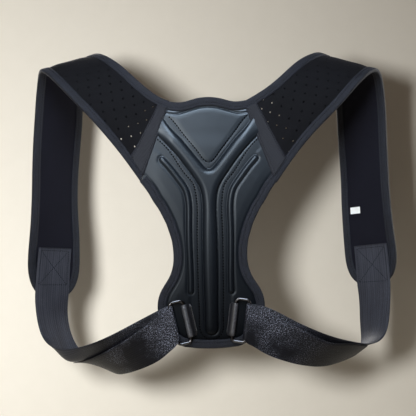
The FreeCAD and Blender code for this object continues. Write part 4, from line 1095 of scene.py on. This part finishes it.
def joining(side):
    """Wide ribbed tape over the shoulder seam, with a stitched row near each edge."""
    strap = side.strap
    rows = np.linspace(-2.4, 17.4, 15)
    station, across = np.meshgrid(rows, np.linspace(0.0, 1.0, 40), indexing="ij")
    width = strap.width(rows)[:, None]
    inset = JOINING_INSET / width
    share = inset + (1 - 2 * inset) * across
    edge = np.minimum(station - rows[0], rows[-1] - station)
    lift = (3.85 + 0.45 * smooth(edge, 0, 2) - 0.25 * groove(edge - 2.6, 0.5)
            + 0.3 * (1 - smooth(station, 0, 8)))
    lift = np.where(edge < 1e-6, 2.2, lift)
    obj = piece(side.name + "_joining_grosgrain", strap.at(station, share, lift),
                quads(*station.shape, flip=strap.sign > 0), GROSGRAIN,
                np.stack([share * width, station], -1),
                [side.name + "_joining_tape"])
    bend_at_seam(obj, side, station)
    threads = Thread()
    for place in (1.2, 14.8):
        width = strap.width(place)
        share = (JOINING_INSET + (width - 2 * JOINING_INSET) * np.linspace(0.0, 1.0, 60)) / width
        path = strap.at(place, share, 4.25 + 0.3 * (1 - smooth(place, 0, 8)))
        threads.sew(path, strap.normal(place), pitch=3.2, length=2.2, radius=0.36, station=place)
    threads.make_at_seam(side, "_joining_thread", NAVY_THREAD)


def care_label(side):
    """Small label on the strap's lining, curling away towards one edge."""
    strap = side.strap
    half_along, half_across = 4.9, 7.75
    middle, share_middle = strap.length - 118.0, 0.30
    width = strap.width(middle)
    reach = half_across / width
    station, share = np.meshgrid(
        np.linspace(middle - half_along, middle + half_along, 9),
        np.linspace(share_middle - reach, share_middle + reach, 9), indexing="ij")
    curl = smooth(share, share_middle, share_middle + reach)
    label = piece("right_label_cloth", strap.at(station, share, -3.35 - 1.0 * curl),
                  quads(*station.shape, flip=strap.sign < 0), SATIN,
                  np.stack([station, share * width], -1), ["right_care_label"])
    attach(label, "right_loop")


# ------------------------------------------------------------------ webbing
WEB_HALF = 0.75  # half thickness
WEB_WIDTH = 48.0
WEB_COLUMNS = 15
TURN_LENGTH = 11.0  # length taken up round the ring's outer bar
TAIL_SPLIT, TAB_START = 48.0, 108.0  # stations on the tail


def tape(edge0, edge1, normals, along, columns=WEB_COLUMNS, half=WEB_HALF):
    """Closed tape body with rounded sides between two edge lines. Gives its points and UVs."""
    share = np.linspace(0, 1, columns)
    width = np.linalg.norm(edge1 - edge0, axis=1)[:, None]
    cross = share * width
    rim = np.minimum(cross, width - cross)
    thick = half * (0.62 + 0.38 * smooth(rim, 0, 2.0)) + 0.12 * groove(rim - 2.0, 0.8)
    middle = edge0[:, None] + (edge1 - edge0)[:, None] * share[:, None]
    offset = normals[:, None] * thick[..., None]
    top, low = middle + offset, (middle - offset)[:, ::-1]
    bulge = unit(edge1 - edge0) * 0.25
    points = np.concatenate([top, (edge1 + bulge)[:, None], low, (edge0 - bulge)[:, None],
                             top[:, :1]], axis=1)
    across = np.concatenate([cross, width + 0.7, width + 1.4 + cross, 2 * width + 2.1,
                             2 * width + 2.8], axis=1)
    return points, uv_grid(along, across)


def lofted(name, body, flip, material, replaced, start_cap=False, end_cap=False):
    """Skins a tape body, with flat caps on the wanted ends."""
    points, uv = body
    rows, columns = points.shape[:2]
    faces = list(quads(rows, columns, flip=flip))
    ring = np.arange(columns - 1)
    last = (rows - 1) * columns + ring
    if start_cap:
        faces.append(ring if flip else ring[::-1])
    if end_cap:
        faces.append(last[::-1] if flip else last)
    return piece(name, points, faces, material, uv, [replaced])


def webbing_run(side):
    """Main run, from the sewn patch to the fold line."""
    shares = np.linspace(0, 1, int(120 * DETAIL))
    edge0, edge1, normals, middle = side.web.sections((0, 0), side.web_cut, shares)
    points, uv = tape(edge0, edge1, normals, middle)
    if side.name == "left":
        # the middle of the left run hangs down between its edges
        share = np.linspace(0, 1, WEB_COLUMNS)
        around = np.r_[share, 1, share[::-1], 0, 0]
        sag = 13.5 * groove(middle - 158.0, 22.0)[:, None] * (4 * around * (1 - around))
        down = -1.0 if normals[np.argmin(np.abs(middle - 153.0))][2] > 0 else 1.0
        points = points + (normals * down)[:, None, :] * sag[..., None]
    run = lofted(side.name + "_webbing_run", (points, uv), side.web.sign < 0, ELASTIC,
                 side.name + "_webbing", start_cap=True)
    bend(run, "panel", side.loop, side.loop_weight(points))


def box_stitches(side):
    """Box and cross stitching on the sewn patch."""
    start, stop, inset = 4.0, 50.0, 3.6
    corners = np.array([(start, inset), (stop, inset), (stop, WEB_WIDTH - inset),
                        (start, WEB_WIDTH - inset)])
    shares = np.linspace(0, 1, 24)[:, None]
    rows = Thread()
    for i, j in [(0, 1), (1, 2), (2, 3), (3, 0), (0, 2), (1, 3)]:
        station, cross = (corners[i] + (corners[j] - corners[i]) * shares).T
        path = side.web.at(station, cross / WEB_WIDTH, WEB_HALF + 0.18)
        rows.sew(path, side.web.normal(station), pitch=3.0, length=2.2, radius=0.42)
    obj = rows.make(side.name + "_box_thread", NAVY_THREAD, [side.name + "_box_stitch"])
    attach(obj, side.loop)


def webbing_turn(side):
    """From the fold line in, round the ring's outer bar and back out to the fold line."""
    web, up = side.web, side.ring_up
    rotation = Matrix.Rotation(math.radians(-side.sign * side.ring_turn), 3, up.tolist())
    turned = np.array(rotation @ Vector(side.ring_out.tolist()))
    bar = side.ring + turned * RING_REACH
    radius = 3.3
    run_in = web.sections(side.web_cut, (web.length, web.length), np.linspace(0, 0.93, 14))
    angle = np.radians(np.linspace(80, -80, 13))
    away = -turned * np.cos(angle)[:, None] + np.array([0, 1.0, 0]) * np.sin(angle)[:, None]
    half = up * (WEB_WIDTH / 2 * (1.0 - 0.03 * np.cos(angle)))[:, None]
    round_bar = (bar + away * radius - half, bar + away * radius + half, away,
                 web.length + (np.radians(80) - angle) * radius + 1)
    edge0, edge1, normals, middle = side.tail.sections(
        (0, 0), side.tail_cut, np.linspace(0.07, 1, 14))
    # the normal turns over round the bar, so the tail's is reversed
    run_out = edge0, edge1, -normals, web.length + TURN_LENGTH + middle
    edge0, edge1, normals, along = map(np.concatenate, zip(run_in, round_bar, run_out))
    for edge in (edge0, edge1):
        for _ in range(3):
            edge[9:33] = (edge[8:32] + 2 * edge[9:33] + edge[10:34]) / 4
    body = tape(edge0, edge1, normals, along)
    obj = lofted(side.name + "_webbing_turn", body, web.sign < 0, ELASTIC,
                 side.name + "_webbing_fold")
    bend(obj, "panel", side.name + "_ring", 1 - smooth(side.fold_gap(body[0]), -19.0, 0.0))


def tail_part(side, name, replaced, start, stop, count, bodies, weight, end_cap=False):
    """A length of tail; weight takes its points and their stations."""
    edge0, edge1, normals, middle = side.tail.sections(start, stop, np.linspace(0, 1, count))
    body = tape(edge0, edge1, -normals, side.web.length + TURN_LENGTH + middle)
    obj = lofted(side.name + name, body, side.tail.sign > 0, ELASTIC,
                 side.name + replaced, end_cap=end_cap)
    points = body[0]
    bend(obj, *bodies, weight(points, np.broadcast_to(middle[:, None], points.shape[:2])))


def tail(side):
    """The tail beyond the fold line in three parts, and the fastener patch under its tab."""
    ribbon, name = side.tail, side.name
    length = ribbon.length
    tilt = side.tail_cut[1] - side.tail_cut[0]
    split = (TAIL_SPLIT - tilt / 2, TAIL_SPLIT + tilt / 2)
    tab = (TAB_START, TAB_START)
    tail_part(side, "_tail_start", "_tail_root", side.tail_cut, split, int(22 * DETAIL),
              ("panel", side.loop),
              lambda points, station: np.maximum(
                  side.loop_weight(points), smooth(station, TAIL_SPLIT - 24, TAIL_SPLIT - 0.5)))
    tail_part(side, "_tail_run", "_webbing_tail", split, tab, int(34 * DETAIL),
              (side.loop, name + "_tail"),
              lambda points, station: smooth(station, TAIL_SPLIT + 0.5, 72.0))
    tail_part(side, "_tail_tab_cloth", "_tail_tab", tab, (length, length), int(26 * DETAIL),
              (name + "_tail", name + "_hook_tab"),
              lambda points, station: smooth(station, TAB_START + 0.5, 122.0), end_cap=True)
    station, share = np.meshgrid(np.linspace(118, length - 2, 16), np.linspace(0.07, 0.93, 12),
                                 indexing="ij")
    hook = piece(name + "_hook_fastener", ribbon.at(station, share, WEB_HALF + 0.25),
                 quads(*station.shape, flip=ribbon.sign > 0), FOAM_EDGE,
                 np.stack([station, share * WEB_WIDTH], -1),
                 [name + "_hook_patch"])
    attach(hook, name + "_hook_tab")


def keeper_tape(side):
    """Tape folded round the ring's inner bar and sewn down on the panel."""
    tab = 22.0 - abs(side.ring[0])
    wrap_radius = 2.95
    # outline from the ring's centre as (outboard, y); a narrow tab leaves out its second point
    outline = [(tab, 2.9)]
    if tab + 2.5 <= -5.6:
        outline.append((tab + 2.5, 2.4))
    outline += [(-5.6, 0.9), (-4.4, -0.8), (-3.3, -2.1)]
    outline += [(wrap_radius * math.cos(angle), wrap_radius * math.sin(angle))
                for angle in np.radians(np.linspace(-120, 90, 15))]
    outline += [(-2.5, 3.15), (-5.0, 3.9), (tab + 1.0, 4.2)]
    outline = np.array(outline)
    path = side.ring + outline[:, :1] * side.ring_out + outline[:, 1:] * np.array([0, 1.0, 0])
    along = unit(np.gradient(path, axis=0))
    normals = unit(np.cross(side.ring_up[None], along)) * side.sign
    arc = arc_length(path)
    corner = np.sqrt(np.clip(1 - (1 - np.clip(arc / 3.0, 0, 1)) ** 2, 0, 1))
    half = side.ring_up * (21.0 - 3.0 * (1 - corner))[:, None]
    body = tape(path - half, path + half, normals, arc, columns=13, half=0.55)
    keeper = lofted(side.name + "_keeper_tape", body, side.sign > 0, KEEPER,
                    side.name + "_ring_keeper", start_cap=True, end_cap=True)
    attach(keeper, "panel")
    rows = Thread()
    for shift in (1.6, 5.4):
        middle = side.ring + side.ring_out * (tab + shift) + np.array([0, 1.7 - 0.1 * shift, 0])
        line = np.stack([middle - side.ring_up * 17.5, middle + side.ring_up * 17.5])
        line = resample(line, [0, 1], np.linspace(0, 1, 20))
        rows.sew(line, FRONT, pitch=3.0, length=2.2, radius=0.36)
    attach(rows.make(side.name + "_keeper_thread", BLACK_THREAD), "panel")


def ring_metal(side):
    """The ring is the CAD wire itself, in metal."""
    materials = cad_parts[side.name + "_adjuster_ring"].data.materials
    materials.clear()
    materials.append(NICKEL)


for side in SIDES:
    strap_cloth(side, "_strap_cloth", STRAP_CLOTHS[side.name], True, "_shoulder_pad")
    strap_cloth(side, "_strap_lining", LININGS[side.name], False,
                "_pad_lining")
    strap_band(side)
    joining(side)
    webbing_run(side)
    box_stitches(side)
    webbing_turn(side)
    tail(side)
    keeper_tape(side)
    ring_metal(side)
    if side.name == "right":
        care_label(side)


# ------------------------------------------------------------------ stage
def backdrop():
    """Wall behind the brace, curving into a floor towards the camera."""
    wall_y, wall_top, floor_z, floor_end, radius = 178.0, 2200.0, -900.0, -3200.0, 400.0
    profile = [(wall_y, wall_top)]
    profile += [(wall_y - radius + radius * math.cos(angle),
                 floor_z + radius - radius * math.sin(angle))
                for angle in np.linspace(0, math.pi / 2, 14)]
    profile += [(floor_end, floor_z)]
    across = np.linspace(-3000, 3000, 5)
    points = [[(x, y, z) for x in across] for y, z in profile]
    return piece("studio_backdrop", points, quads(len(profile), len(across)), wall_paint())


wall = backdrop()
bpy.context.view_layer.update()


def area(name, place, target, *, size, power, colour, spread=None):
    """Round area light at place, facing target. Spread is in degrees."""
    light = bpy.data.lights.new(name, "AREA")
    light.shape = "DISK"
    light.size = size
    light.energy = power
    light.color = colour
    if spread:
        light.spread = math.radians(spread)
    obj = bpy.data.objects.new(name, light)
    bpy.context.scene.collection.objects.link(obj)
    back = unit(np.array(place, float) - np.array(target, float))
    sideways = unit(np.cross([0, 0, 1.0], back))
    columns = (sideways, np.cross(back, sideways), back, place)
    obj.matrix_world = Matrix([[column[i] for column in columns] for i in range(3)]
                              + [[0, 0, 0, 1]])
    return obj


def wall_group(name, exclude=False):
    """Light-linking group that holds, or leaves out, the wall."""
    group = bpy.data.collections.new(name)
    group.objects.link(wall)
    if exclude:
        group.collection_objects[0].light_linking.link_state = "EXCLUDE"
    return group


def front_lights():
    """Gives the group that holds only the wall."""
    lamp = (-0.40, -1.14, 0.16)
    area("key_light", lamp, (-0.20, 0.10, -0.05), size=0.26, power=6.2, colour=(1.0, 0.985, 0.95))
    wash = area("wall_wash", lamp, (-0.42, 0.17, -0.20), size=0.34, power=3.9,
                colour=(1.0, 0.99, 0.965), spread=90)
    wall_only = wall_group("lit_by_wall_wash")
    wash.light_linking.receiver_collection = wall_only
    area("side_light", (-1.05, -0.75, 0.10), (-0.30, 0.25, -0.10), size=0.80, power=0.5,
         colour=(1.0, 0.96, 0.90), spread=130)
    # lights only the brace, so the wall keeps a single clean shadow
    top = area("soft_top", (-0.05, -0.60, 0.52), (0.0, 0.0, 0.17), size=0.50, power=2.1,
               colour=(0.78, 0.89, 1.0), spread=80)
    top.light_linking.receiver_collection = wall_group("unlit_by_soft_top", exclude=True)
    return wall_only


def room():
    """Pale to the camera from every side, but lends the brace only a dim warm bounce."""
    world = bpy.data.worlds.new("studio")
    world.use_nodes = True
    bpy.context.scene.world = world
    tree = world.node_tree
    pale, dim = tree.nodes.new("ShaderNodeBackground"), tree.nodes["Background"]
    for node, colour, strength in ((dim, (1.0, 0.66, 0.43, 1), 0.06),
                                   (pale, (0.72, 0.69, 0.63, 1), 0.8)):
        node.inputs[0].default_value = colour
        node.inputs[1].default_value = strength
    ray = tree.nodes.new("ShaderNodeLightPath")
    both = tree.nodes.new("ShaderNodeMixShader")
    tree.links.new(ray.outputs["Is Camera Ray"], both.inputs[0])
    tree.links.new(dim.outputs[0], both.inputs[1])
    tree.links.new(pale.outputs[0], both.inputs[2])
    tree.links.new(both.outputs[0], tree.nodes["World Output"].inputs[0])


def rear_lights(wall_only):
    # the floor's own light, from behind the wall so the wall's face keeps its shadow
    under = area("floor_light", (0.0, 1.0, 1.4), (0.0, -0.2, -0.9), size=0.9, power=22.0,
                 colour=(1.0, 0.985, 0.95))
    under.light_linking.receiver_collection = wall_only
    # soft light on the wearer's side, which passes the wall
    for name, place, power in (("rear_soft", (-0.55, 1.05, 0.42), 14.0),
                               ("rear_side", (1.05, 0.35, 0.25), 7.0)):
        rear = area(name, place, (0.0, 0.05, 0.0), size=0.7, power=power,
                    colour=(1.0, 0.985, 0.96))
        no_wall = wall_group("unblocked_" + name, exclude=True)
        rear.light_linking.blocker_collection = no_wall
    rear.light_linking.receiver_collection = no_wall
    under.light_linking.blocker_collection = no_wall


def camera():
    """Looks along +Y, rolled slightly."""
    distance, half_view = 1.5, 0.2704
    roll = math.radians(1.03)
    view = bpy.data.cameras.new("view")
    view.angle = 2 * math.atan(half_view / distance)
    obj = bpy.data.objects.new("view", view)
    bpy.context.scene.collection.objects.link(obj)
    obj.matrix_world = Matrix([[math.cos(roll), math.sin(roll), 0, -0.00195],
                               [0, 0, -1, -distance],
                               [-math.sin(roll), math.cos(roll), 0, 0.01885],
                               [0, 0, 0, 1]])
    bpy.context.scene.camera = obj


wall_only = front_lights()
room()
rear_lights(wall_only)
bpy.context.scene.view_settings.view_transform = "Standard"
camera()
